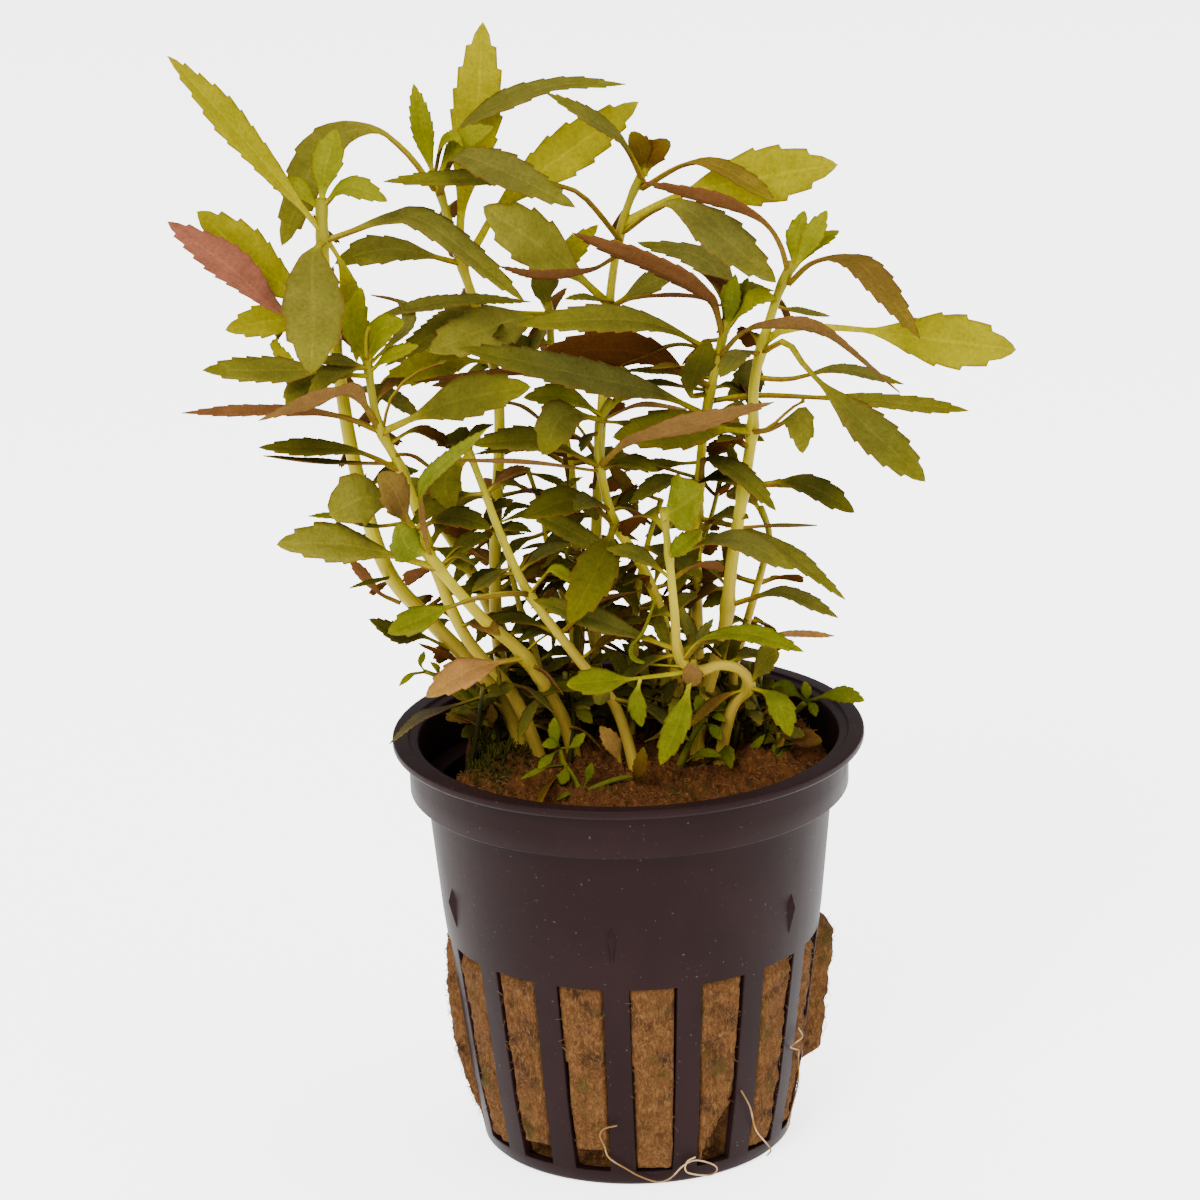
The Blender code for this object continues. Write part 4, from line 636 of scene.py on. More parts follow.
# Long loose fibres that cling to the pot
LOOSE_FIBRE_RADIUS = 0.1
LOOSE_FIBRES = (
    [(-2.5, -20, 8.5), (-4, -19.7, 8), (-4.5, -19.4, 7), (-4, -19.1, 5.5), (-3.5, -19, 4),
        (-1.5, -18.9, 2.5), (0, -18.8, 1.5), (2, -18.5, 0.6), (3.5, -18.5, 1), (5, -18.5, 2.5),
        (6.5, -18, 3), (8.5, -17, 2), (9, -16.5, 1), (8, -17, 0.6), (5.5, -18, 1.5), (5.5, -18.5, 3),
        (6.5, -18.2, 3.5)],
    [(12, -16.5, 11), (13, -15.5, 8.5), (13.5, -14, 5.5), (14, -13.2, 4), (15, -11.5, 2),
        (15.5, -10.5, 0.7), (15, -11.4, 0.4)],
    [(19, -9, 15.5), (19.5, -8, 14), (18.5, -10, 14), (18, -10, 13.5), (19, -8.5, 12.5),
        (19, -7.5, 11.5), (19, -6, 7.5), (18.3, -6, 4.5), (17.5, -7, 2)],
)


def display(red, green, blue):
    """A linear colour from values of 0 to 255 as a screen shows them."""
    return tuple((part / 255.0 / 12.92) if part < 11 else ((part / 255.0 + 0.055) / 1.055) ** 2.4
                 for part in (red, green, blue))


def colour_setting(name, description, red, green, blue):
    return FloatVectorProperty(name=name, description=description, default=display(red, green, blue),
                               subtype="COLOR", size=3, min=0.0, max=1.0)


class PotSettings(bpy.types.PropertyGroup):
    """Sizes and colours of the net pot."""
    plastic: colour_setting("Plastic", "Colour of the moulded plastic", 21, 9, 9)
    roughness: FloatProperty(name="Roughness", description="How matte the plastic is",
                             default=0.48, min=0.0, max=1.0)
    edge_radius: FloatProperty(name="Edge radius", description="Rounding of the moulded edges",
                               default=0.0002, unit="LENGTH")


class WoolSettings(bpy.types.PropertyGroup):
    """Colours of the rockwool plug."""
    dry: colour_setting("Dry fibre", "Colour of the fibre in the slots", 72, 45, 22)
    damp: colour_setting("Damp fibre", "Colour of the darker patches", 38, 22, 12)
    moss: colour_setting("Moss", "Colour of the moss on top", 40, 37, 9)
    top: colour_setting("Top", "Colour of the wet fibre on top", 68, 36, 11)
    loose: colour_setting("Loose fibre", "Colour of the palest fibres", 106, 77, 42)
    thread: colour_setting("Long fibre", "Colour of the long fibres on the pot", 160, 132, 96)
    fibres: IntProperty(name="Fibres", description="Number of short fibres that stand out",
                        default=6400, min=0)
    moss_threads: IntProperty(name="Moss", description="Number of moss threads on top",
                              default=900, min=0)


class LeafSettings(bpy.types.PropertyGroup):
    """Sizes and colours of the leaves and stems."""
    tooth_pitch: FloatProperty(name="Tooth spacing", description="Distance between the teeth of a margin",
                               default=0.0024, unit="LENGTH")
    tooth_depth: FloatProperty(name="Tooth depth", description="Height of a tooth of the margin",
                               default=0.00038, unit="LENGTH")
    thickness: FloatProperty(name="Thickness", description="Thickness of a blade",
                             default=0.00032, unit="LENGTH")
    low_shoots: IntProperty(name="Low shoots", description="Number of dark shoots low at the back",
                            default=36, min=0)
    # Gold and yellow olive are partly the young outer leaves' own yellow and partly painted light; green and
    # deep green are partly the inner leaves' own darker green and partly painted shade.
    gold: colour_setting("Gold", "Young outer leaves in full light", 108, 101, 6)
    sunny: colour_setting("Yellow olive", "Leaves half way out", 94, 89, 30)
    olive: colour_setting("Olive", "Most of the leaves", 71, 67, 25)
    green: colour_setting("Green", "Leaves inside the bunch", 55, 53, 20)
    deep: colour_setting("Deep green", "Shaded leaves", 37, 36, 11)
    fresh: colour_setting("Fresh green", "Leaves of the seedlings", 52, 62, 14)
    crown: colour_setting("Crown", "Youngest leaves at the crowns", 86, 87, 12)
    lime: colour_setting("Lime", "Leaves of the side shoots", 72, 77, 18)
    bronze: colour_setting("Bronze", "Leaves between olive and maroon", 74, 56, 21)
    maroon: colour_setting("Maroon", "Brownish undersides", 72, 45, 22)
    pink: colour_setting("Dusty pink", "Pale undersides", 82, 59, 29)
    rose: colour_setting("Rose", "The palest underside", 96, 56, 41)
    brown: colour_setting("Brown", "Darkest undersides", 56, 31, 9)
    orange: colour_setting("Orange brown", "The ageing low leaf", 128, 90, 48)
    withered: colour_setting("Withered", "The dead leaf on the rim", 54, 48, 36)
    stem_top: colour_setting("Stem top", "Upper part of the stems", 143, 132, 12)
    stem_foot: colour_setting("Stem foot", "Lower part of the stems", 148, 124, 42)


class StageSettings(bpy.types.PropertyGroup):
    """Camera and light."""
    lens: FloatProperty(name="Lens", description="Focal length", default=181.53, unit="CAMERA")
    distance: FloatProperty(name="Distance", description="From the camera to its target",
                            default=0.7, unit="LENGTH")
    tilt: FloatProperty(name="Tilt", description="How far the camera looks down", default=radians(18.66),
                        subtype="ANGLE")
    roll: FloatProperty(name="Roll", description="Turn about the line of sight", default=radians(-1.48),
                        subtype="ANGLE")
    floor: colour_setting("Floor", "Colour of the floor", 244, 243, 242)
    glow: FloatProperty(name="Floor glow", description="Light of the white floor itself",
                        default=2.8, min=0.0)
    sky: FloatProperty(name="Surround", description="Light from all sides", default=0.9, min=0.0)


class Value:
    """A number in a material's nodes, on which arithmetic adds Math nodes."""

    def __init__(self, paint, socket):
        self.paint = paint
        self.socket = socket

    def math(self, operation, first, second=0.0):
        return self.paint.node("ShaderNodeMath", {"operation": operation}, {0: first, 1: second})

    def __add__(self, other):
        return self.math("ADD", self, other)

    __radd__ = __add__

    def __sub__(self, other):
        return self.math("SUBTRACT", self, other)

    def __rsub__(self, other):
        return self.math("SUBTRACT", other, self)

    def __mul__(self, other):
        return self.math("MULTIPLY", self, other)

    __rmul__ = __mul__

    def __abs__(self):
        return self.math("ABSOLUTE", self)

    def sine(self):
        return self.math("SINE", self)

    def between(self, low, high):
        """0 below low, 1 above high and smooth between them."""
        return self.paint.node("ShaderNodeMapRange", {"interpolation_type": "SMOOTHSTEP"},
                               {"Value": self, "From Min": low, "From Max": high})


class Paint:
    """Makes one material and its nodes."""

    def __init__(self, name, roughness=0.5):
        self.material = bpy.data.materials.new(name)
        self.material.use_nodes = True
        self.tree = self.material.node_tree
        self.shader = self.tree.nodes["Principled BSDF"]
        self.set("Roughness", roughness)

    def node(self, kind, settings, inputs, output=0):
        """Adds a node: its settings first, then the values or links of its sockets."""
        node = self.tree.nodes.new(kind)
        for name, setting in settings.items():
            setattr(node, name, setting)
        for name, value in inputs.items():
            self.fill(node.inputs[name], value)
        return Value(self, node.outputs[output])

    def fill(self, socket, value):
        if isinstance(value, Value):
            self.tree.links.new(value.socket, socket)
        elif hasattr(value, "__len__") and len(value) == 3 and len(socket.default_value) == 4:
            socket.default_value = (*value, 1.0)
        else:
            socket.default_value = value

    def set(self, name, value):
        self.fill(self.shader.inputs[name], value)

    def mix(self, factor, first, second, blend="MIX"):
        """Blends two colours."""
        return self.node("ShaderNodeMix", {"data_type": "RGBA", "blend_type": blend},
                         {0: factor, 6: first, 7: second}, output=2)

    def place(self, stretch=(1.0, 1.0, 1.0)):
        """Places in metres on the object, stretched."""
        spot = self.node("ShaderNodeTexCoord", {}, {}, output=3)
        return self.node("ShaderNodeVectorMath", {"operation": "MULTIPLY"}, {0: spot, 1: stretch})

    def noise(self, scale, detail=3.0, roughness=0.5, vector=None, distortion=0.0):
        return self.node("ShaderNodeTexNoise", {}, {
            "Vector": vector or self.place(), "Scale": scale, "Detail": detail, "Roughness": roughness,
            "Distortion": distortion})

    def attribute(self, name, part=None):
        """A surface value stored on the mesh: the whole of it, or its x, y or z."""
        output = "Color" if part is None else "Vector"
        whole = self.node("ShaderNodeAttribute", {"attribute_name": name}, {}, output)
        if part is None:
            return whole
        return self.node("ShaderNodeSeparateXYZ", {}, {0: whole}, output=part.upper())

    def bump(self, height, strength, distance):
        """Feeds the shader's normal from a height, in metres of relief."""
        inputs = {"Strength": strength, "Distance": distance, "Height": height}
        self.set("Normal", self.node("ShaderNodeBump", {}, inputs))


def plastic_finish(settings):
    """Dark satin plastic with a soft cloudy sheen, fine pale specks and upright scuffs; the lighter cloudy
    patches and upright streaks in its colour are partly painted sheen.
    """
    paint = Paint("pot_plastic_finish", settings.roughness)
    upright = paint.place(stretch=(1.0, 1.0, 0.25))
    cloudy_sheen = paint.noise(scale=70.0, detail=4.0)
    specks = paint.noise(scale=2600.0, detail=1.0).between(0.74, 0.80)
    scuff_and_sheen = paint.noise(scale=400.0, detail=5.0, roughness=0.6, vector=upright).between(0.62, 0.78)
    dark = tuple(settings.plastic)
    pale = tuple(part * 1.8 + 0.002 for part in dark)
    speck_colour = display(84, 78, 76)
    # Lighter cloudy patches and upright streaks in the base colour: partly wear and tone of the plastic,
    # partly painted sheen.
    base = paint.mix(cloudy_sheen.between(0.35, 0.7) * 0.35, dark, pale)
    base = paint.mix(scuff_and_sheen * 0.22, base, pale)
    base = paint.mix(specks * 0.4, base, speck_colour)
    paint.set("Base Color", base)
    paint.set("Roughness", settings.roughness + (cloudy_sheen - 0.5) * 0.2 + scuff_and_sheen * 0.12)
    grain = paint.noise(scale=5200.0, detail=2.0) + paint.noise(scale=900.0, detail=2.0) * 1.5
    paint.bump(grain, strength=0.25, distance=0.00003)
    paint.set("Specular IOR Level", 0.04)
    return paint.material


def wool_finish(settings):
    """Matted mineral fibre, tan where dry and brown where damp, and rusty with green moss on top; the gaps
    between its strands are painted shade, and its raised strands are paler, partly painted highlight.
    """
    paint = Paint("rockwool_finish", roughness=0.95)
    upright = paint.place(stretch=(1.0, 1.0, 0.45))
    patch = paint.noise(scale=260.0, detail=5.0, roughness=0.6)
    strand = paint.noise(scale=2400.0, detail=4.0, roughness=0.65, vector=upright, distortion=1.2)
    gap_shade_colour = display(26, 17, 9)
    rust_and_highlight_colour = display(128, 78, 30)
    wet_gap_shade_colour = display(24, 13, 5)
    base = paint.mix(patch.between(0.30, 0.52), tuple(settings.damp), tuple(settings.dry))
    # Raised strands paler: partly paler fibre, partly painted highlight.
    base = paint.mix(strand.between(0.46, 0.66) * 0.45, base, tuple(settings.loose))
    # Painted shade: the gaps between the strands are darker.
    base = paint.mix(strand.between(0.50, 0.28) * 0.5, base, gap_shade_colour)
    top = paint.attribute("place", "z")
    base = paint.mix(top * 0.7, base, tuple(settings.top))
    # Raised strands on top rust-coloured: partly the fibre's own rust, partly painted highlight.
    base = paint.mix(top * strand.between(0.58, 0.70) * 0.7, base, rust_and_highlight_colour)
    # Painted shade: the gaps between the strands on top are darker.
    base = paint.mix(top * strand.between(0.46, 0.34) * 0.7, base, wet_gap_shade_colour)
    moss = paint.noise(scale=240.0, detail=4.0) + paint.attribute("place", "x") * 0.3
    base = paint.mix(moss.between(0.55, 0.75) * 0.8, base, tuple(settings.moss))
    paint.set("Base Color", base)
    paint.set("Specular IOR Level", 0.05)
    grain = paint.noise(scale=6000.0, detail=2.0)
    paint.bump(strand * 0.7 + grain * 0.3, strength=0.9, distance=0.00035)
    return paint.material


def fibre_finish(name, dark, pale):
    """Fine matte threads, dark and pale in patches."""
    paint = Paint(name, roughness=0.9)
    patch = paint.noise(scale=300.0).between(0.4, 0.65)
    paint.set("Base Color", paint.mix(patch, tuple(dark), tuple(pale)))
    paint.set("Specular IOR Level", 0.03)
    return paint.material


def moss_finish(settings):
    """Dark moss with brighter young threads."""
    paint = Paint("moss_finish", roughness=0.9)
    young = paint.noise(scale=500.0).between(0.4, 0.65)
    young_colour = display(52, 50, 10)
    paint.set("Base Color", paint.mix(young, tuple(settings.moss), young_colour))
    paint.set("Specular IOR Level", 0.02)
    return paint.material


def leaf_finish():
    """A soft blade with its own tint, a pale midrib and side veins, mottling and a fine red-brown margin."""
    paint = Paint("leaf_finish", roughness=0.55)
    off_middle = abs(paint.attribute("place", "x"))
    along = paint.attribute("place", "y")
    size = paint.attribute("place", "z")
    mottle = paint.noise(scale=420.0, detail=4.0, roughness=0.6)
    fine = paint.noise(scale=2600.0, roughness=0.6)
    veins = ((along * size * 3.6 - off_middle * 2.2) * 2.0).sine().between(0.80, 1.0)
    midrib = off_middle.between(0.11, 0.03)
    rim = off_middle.between(0.90, 0.985)
    mottle_tint, pale_tint, dark_tint = (0.62, 0.64, 0.60), (1.35, 1.30, 1.1), (0.62, 0.60, 0.60)
    vein_tint, midrib_tint = (1.22, 1.2, 1.0), (1.3, 1.25, 1.2)
    rim_colour = display(84, 38, 12)
    base = paint.attribute("tint")
    base = paint.mix(mottle.between(0.35, 0.65) * 0.5, base, mottle_tint, "MULTIPLY")
    base = paint.mix(fine.between(0.45, 0.65) * 0.5, base, pale_tint, "MULTIPLY")
    base = paint.mix(fine.between(0.45, 0.28) * 0.5, base, dark_tint, "MULTIPLY")
    base = paint.mix(veins * 0.3, base, vein_tint, "MULTIPLY")
    base = paint.mix(midrib * 0.7, base, midrib_tint, "MULTIPLY")
    base = paint.mix(rim * 0.35, base, rim_colour)
    paint.set("Base Color", base)
    paint.set("Roughness", 0.52 + mottle * 0.25)
    paint.set("Specular IOR Level", 0.0)
    paint.bump(fine * 0.3 - veins * 0.25 - midrib * 0.4, strength=0.5, distance=0.0001)
    return paint.material


def stem_finish():
    """A smooth ribbed stem, tinted along its height, darker in streaks and at its joints."""
    paint = Paint("stem_finish", roughness=0.4)
    grain = paint.node("ShaderNodeVectorMath", {"operation": "MULTIPLY"},
                       {0: paint.attribute("place"), 1: (8.0, 1.2, 1.0)})
    streak = paint.noise(scale=1.0, roughness=0.6, vector=grain)
    joint = paint.attribute("place", "z")
    streak_tint = (0.66, 0.60, 0.40)
    joint_colour = display(104, 94, 12)
    base = paint.mix(streak.between(0.40, 0.62) * 0.6, paint.attribute("tint"), streak_tint, "MULTIPLY")
    base = paint.mix(joint * 0.5, base, joint_colour)
    paint.set("Base Color", base)
    paint.set("Roughness", 0.34 + streak * 0.25)
    paint.set("Specular IOR Level", 0.06)
    paint.bump(streak, strength=0.5, distance=0.00012)
    return paint.material


def shared(name, make):
    """The finish of that name, made once."""
    return bpy.data.materials.get(name) or make()


class Shape:
    """Collects the corners, faces and surface values of one piece, in millimetres."""

    def __init__(self):
        self.corners = []
        self.faces = []
        self.finishes = []
        self.place = []
        self.tint = []

    def add(self, corner, place=(0.0, 0.0, 0.0), tint=(1.0, 1.0, 1.0)):
        self.corners.append(tuple(corner))
        self.place.append(tuple(place))
        self.tint.append((*tint, 1.0))
        return len(self.corners) - 1

    def face(self, corners, finish=0):
        self.faces.append(tuple(corners))
        self.finishes.append(finish)

    def band(self, lower, upper, finish=0):
        """Joins two rings of as many corners."""
        for i in range(len(lower)):
            j = (i + 1) % len(lower)
            self.face((lower[i], lower[j], upper[j], upper[i]), finish)

    def tube(self, rings, finish=0):
        """Joins rings to a tube that is closed at both ends."""
        for lower, upper in zip(rings, rings[1:]):
            self.band(lower, upper, finish)
        self.face(reversed(rings[0]), finish)
        self.face(rings[-1], finish)

    def object(self, name, materials, slot, *nodes):
        """Makes the piece, which rides with the plant and stands for its solids."""
        mesh = bpy.data.meshes.new(name)
        mesh.from_pydata([[part * MM for part in corner] for corner in self.corners], [], self.faces)
        for material in materials:
            mesh.materials.append(material)
        mesh.polygons.foreach_set("material_index", self.finishes)
        place = mesh.attributes.new("place", "FLOAT_VECTOR", "POINT")
        place.data.foreach_set("vector", [part for row in self.place for part in row])
        tint = mesh.attributes.new("tint", "FLOAT_COLOR", "POINT")
        tint.data.foreach_set("color", [part for row in self.tint for part in row])
        mesh.shade_smooth()
        mesh.validate()
        obj = bpy.data.objects.new(name, mesh)
        bpy.context.scene.collection.objects.link(obj)
        settle(obj, slot, *nodes)
        return obj


def settle(obj, slot, *nodes):
    """Puts a finished piece on the plant's body and hides the solids that it stands for; its finish slot is
    not used.
    """
    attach(obj, "root")
    if nodes:
        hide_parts(*nodes)


def blend_colour(first, second, share):
    share = max(0.0, min(1.0, share))
    return tuple(a + (b - a) * share for a, b in zip(first, second))


def smooth_step(low, high, value):
    share = max(0.0, min(1.0, (value - low) / (high - low)))
    return share * share * (3 - 2 * share)


def smooth_route(points):
    """A dense smooth curve through the given places, with the distance along it at each point."""
    places = [Vector(p) for p in points]
    places = [2 * places[0] - places[1]] + places + [2 * places[-1] - places[-2]]
    dense = []
    for a, b, c, d in zip(places, places[1:], places[2:], places[3:]):
        for step in range(16):
            t = step / 16
            dense.append(0.5 * (2 * b + (c - a) * t + (2 * a - 5 * b + 4 * c - d) * t ** 2
                                + (3 * b - a - 3 * c + d) * t ** 3))
    dense.append(places[-2])
    lengths = [0.0]
    for here, after in zip(dense, dense[1:]):
        lengths.append(lengths[-1] + (after - here).length)
    return dense, lengths


def along_route(route, wanted):
    """The place at a distance along a dense curve."""
    dense, lengths = route
    low, high = 0, len(lengths) - 1
    while high - low > 1:
        middle = (low + high) // 2
        if lengths[middle] <= wanted:
            low = middle
        else:
            high = middle
    return dense[low].lerp(dense[high], (wanted - lengths[low]) / (lengths[high] - lengths[low]))


def face_across(chord, turn):
    """Direction across a blade whose upper face turns from the front, at 0, to the sky, at 90, and beyond."""
    direction = chord.normalized()
    across = direction.cross(FRONT).normalized()
    sky_side = 1.0 if across.z >= 0.0 else -1.0
    return Matrix.Rotation(radians(turn * sky_side), 3, direction) @ across


def blade_stations(length, stalk, pitch):
    """Shares along a leaf, each with the rise of its tooth: a plain stalk, then four stations to a tooth."""
    stations = [(stalk * step / STALK_STATIONS, 0.0) for step in range(STALK_STATIONS)]
    teeth = max(FEWEST_TEETH, round(length * (1 - stalk) / pitch))
    for tooth in range(teeth):
        for phase, rise in TOOTH_STATIONS:
            stations.append((stalk + (1 - stalk) * (tooth + phase) / teeth, rise))
    stations.append((1.0, 0.0))
    return stations


def grow_leaf(shape, colours, settings, width, turn, upper, under, stalk, midrib, seed, columns=9, finish=0):
    """Adds one closed blade: a stalk that widens to a toothed lance, folded at its midrib and a little wavy.

    Its turn is one angle, or the angles at its foot and at its tip.
    """
    draw = Random(seed)
    route = smooth_route(midrib)
    length = route[1][-1]
    turns = turn if isinstance(turn, tuple) else (turn, turn)
    foot_across, tip_across = (face_across(route[0][-1] - route[0][0], angle) for angle in turns)
    widest = draw.uniform(*WIDEST_RANGE)
    petiole = min(THICKEST_STALK, STALK_WIDTH * width)
    fold = draw.uniform(*FOLD_RANGE)
    wave = draw.uniform(*WAVE_RANGE)
    phase = draw.uniform(0.0, 2 * pi)
    shade = draw.uniform(*SHADE_RANGE)
    warm = draw.uniform(*WARM_RANGE)
    thickness = settings.thickness / MM
    depth = settings.tooth_depth / MM * min(DEEPEST_TOOTH, width / TOOTH_WIDTH)
    top_colour = [part * shade for part in blend_colour(colours[upper], colours["gold"], warm)]
    low_colour = [part * shade for part in colours[under]]
    stalk_colour = blend_colour(colours["stem_top"], colours[upper], TOP_STALK_BLEND)
    low_stalk = blend_colour(colours["stem_top"], colours["maroon"], LOW_STALK_BLEND)
    stations = blade_stations(length, stalk, settings.tooth_pitch / MM * width / TOOTH_WIDTH)
    middle = columns // 2
    rows = []
    for share, rise in stations:
        point = along_route(route, share * length)
        ahead = along_route(route, min(1.0, share + LEAF_AIM) * length)
        behind = along_route(route, max(0.0, share - LEAF_AIM) * length)
        along = (ahead - behind).normalized()
        across = foot_across.lerp(tip_across, smooth_step(0.0, 1.0, share))
        side = (across - along * across.dot(along)).normalized()
        up = side.cross(along)
        blade = max(0.0, (share - stalk) / (1 - stalk))
        outline = sin(pi * blade ** widest) if 0.0 < blade < 1.0 else 0.0
        outline **= TIP_FULLNESS if blade ** widest > 0.5 else FOOT_FULLNESS
        half = hypot(petiole * (1 - share) + TIP_WIDTH, outline * width / 2)
        tooth = depth * rise * smooth_step(*TOOTH_START, blade) * smooth_step(*TOOTH_FADE, outline)
        ripple = wave * sin(2 * pi * share * WAVE_COUNT + phase) * outline
        flesh = thickness * (EDGE_FLESH + BLADE_FLESH * outline)
        stalk_end = 1 - smooth_step(stalk * 0.6, stalk + 0.25, share)
        flesh += STALK_FLESH * min(1.0, width / STALK_FLESH_WIDTH) * stalk_end
        tip = smooth_step(TIP_START, 1.0, blade)
        join = smooth_step(stalk * 0.4, stalk + JOIN_REACH, share)
        top = blend_colour(stalk_colour, top_colour, join)
        top = blend_colour(top, colours["gold"], tip * TIP_GOLD)
        low = blend_colour(low_stalk, low_colour, join)
        red_rim = 0.0
        if upper in RED_STALKS:
            red_rim = RED_RIM * (1 - smooth_step(stalk, stalk + RED_RIM_REACH, share))
        row_top, row_low = [], []
        for column in range(columns):
            u = (column - middle) / middle
            off = abs(u)
            edge = off ** 3
            at_edge = tooth if off == 1 else 0.0
            reach = half * u + at_edge * u
            lift = half * (fold * off - FOLD_CURVE * fold * u * u + ripple * u * off)
            lift -= MIDRIB_GROOVE * outline * (1 - off) ** 4
            spot = point + side * reach + up * lift + along * (at_edge * TOOTH_LEAN)
            plump = flesh / 2 * (1 - EDGE_THINNING * edge)
            rib = MIDRIB_DEPTH * (1 - blade) * (1 - off) ** 6
            place = (u, share, length)
            row_top.append(shape.add(spot + up * plump, place, blend_colour(top, low_stalk, red_rim * edge)))
            row_low.append(shape.add(spot - up * (plump + rib), place, low))
        rows.append((row_top, row_low))
    for (top_a, low_a), (top_b, low_b) in zip(rows, rows[1:]):
        for i in range(columns - 1):
            shape.face((top_a[i], top_a[i + 1], top_b[i + 1], top_b[i]), finish)
            shape.face((low_a[i + 1], low_a[i], low_b[i], low_b[i + 1]), finish)
        shape.face((low_a[0], top_a[0], top_b[0], low_b[0]), finish)
        shape.face((top_a[-1], low_a[-1], low_b[-1], top_b[-1]), finish)
    for (top, low), flip in ((rows[0], False), (rows[-1], True)):
        for i in range(columns - 1):
            corners = (top[i], low[i], low[i + 1], top[i + 1])
            shape.face(tuple(reversed(corners)) if flip else corners, finish)


def grow_stem(shape, colours, radius, places, joints, sides=12, finish=0, thin_top=0.6):
    """Adds one closed tube that tapers upwards and swells at its joints."""
    route = smooth_route(places)
    length = route[1][-1]
    count = max(FEWEST_RINGS, int(length / STEM_SPACING))
    joint_lengths = []
    for joint in joints:
        nearest = min(range(len(route[0])), key=lambda i: (route[0][i] - Vector(joint)).length)
        joint_lengths.append(route[1][nearest])
    across = Vector((1.0, 0.0, 0.0))
    rings = []
    for index in range(count + 1):
        distance = length * index / count
        point = along_route(route, distance)
        ahead = along_route(route, min(length, distance + STEM_AIM))
        behind = along_route(route, max(0.0, distance - STEM_AIM))
        along = (ahead - behind).normalized()
        across = (across - along * across.dot(along)).normalized()
        other = along.cross(across)
        share = distance / length
        swell = max([exp(-((distance - joint) / JOINT_REACH) ** 2) for joint in joint_lengths] + [0.0])
        thick = radius * (STEM_FLARE - (STEM_FLARE - thin_top) * share ** TAPER_POWER)
        thick *= 1 + JOINT_SWELL * swell
        height_share = smooth_step(*FOOT_TINT_HEIGHTS, point.z)
        top_share = smooth_step(length - TOP_TINT_START, length - TOP_TINT_END, distance)
        tint = blend_colour(colours["stem_foot"], colours["stem_top"], height_share)
        tint = blend_colour(tint, colours["crown"], TOP_TINT * top_share)
        ring = []
        for side in range(sides):
            angle = 2 * pi * side / sides
            reach = thick * (1 + RIDGE_RELIEF * cos(angle * RIDGE_COUNT))
            spot = point + (across * cos(angle) + other * sin(angle)) * reach
            ring.append(shape.add(spot, (cos(angle), distance / STREAK_LENGTH, swell), tint))
        rings.append(ring)
    shape.tube(rings, finish)


def palette(settings):
    """The plant's colours by name."""
    names = ("gold", "sunny", "olive", "green", "deep", "fresh", "crown", "lime", "bronze", "maroon",
             "pink", "rose", "brown", "orange", "withered", "stem_top", "stem_foot")
    return {name: tuple(getattr(settings, name)) for name in names}


def round_place(radius, angle, height):
    """A place at a radius and an angle round the pot's axis."""
    return (radius * cos(angle), radius * sin(angle), height)


def wall_radius(height):
    """Outer radius of the pot's tapered body at a height."""
    for (upper_r, upper_z), (lower_r, lower_z) in zip(BODY_WALL, BODY_WALL[1:]):
        if height >= lower_z:
            share = min(1.0, (height - lower_z) / (upper_z - lower_z))
            return lower_r + (upper_r - lower_r) * share
    return BASE_RADIUS


def slot_half_angle(height):
    """Half the slot's angle at a height, where the ribs between the slots keep one width."""
    height = min(max(height, SLOT_BOTTOM), SLOT_TOP)
    return SLOT_PITCH / 2 - degrees(RIB_WIDTH / 2 / wall_radius(height))


def pot_column_angles(height):
    """Angles of one ring of the pot: five columns across each slot and three across each rib."""
    half = slot_half_angle(height)
    angles = []
    for index in range(SLOT_COUNT):
        centre = FRONT_SLOT_ANGLE + index * SLOT_PITCH
        angles += [centre + half * offset for offset in SLOT_COLUMNS]
        angles += [centre + half + (SLOT_PITCH - 2 * half) * offset for offset in RIB_COLUMNS]
    return [radians(angle) for angle in angles]


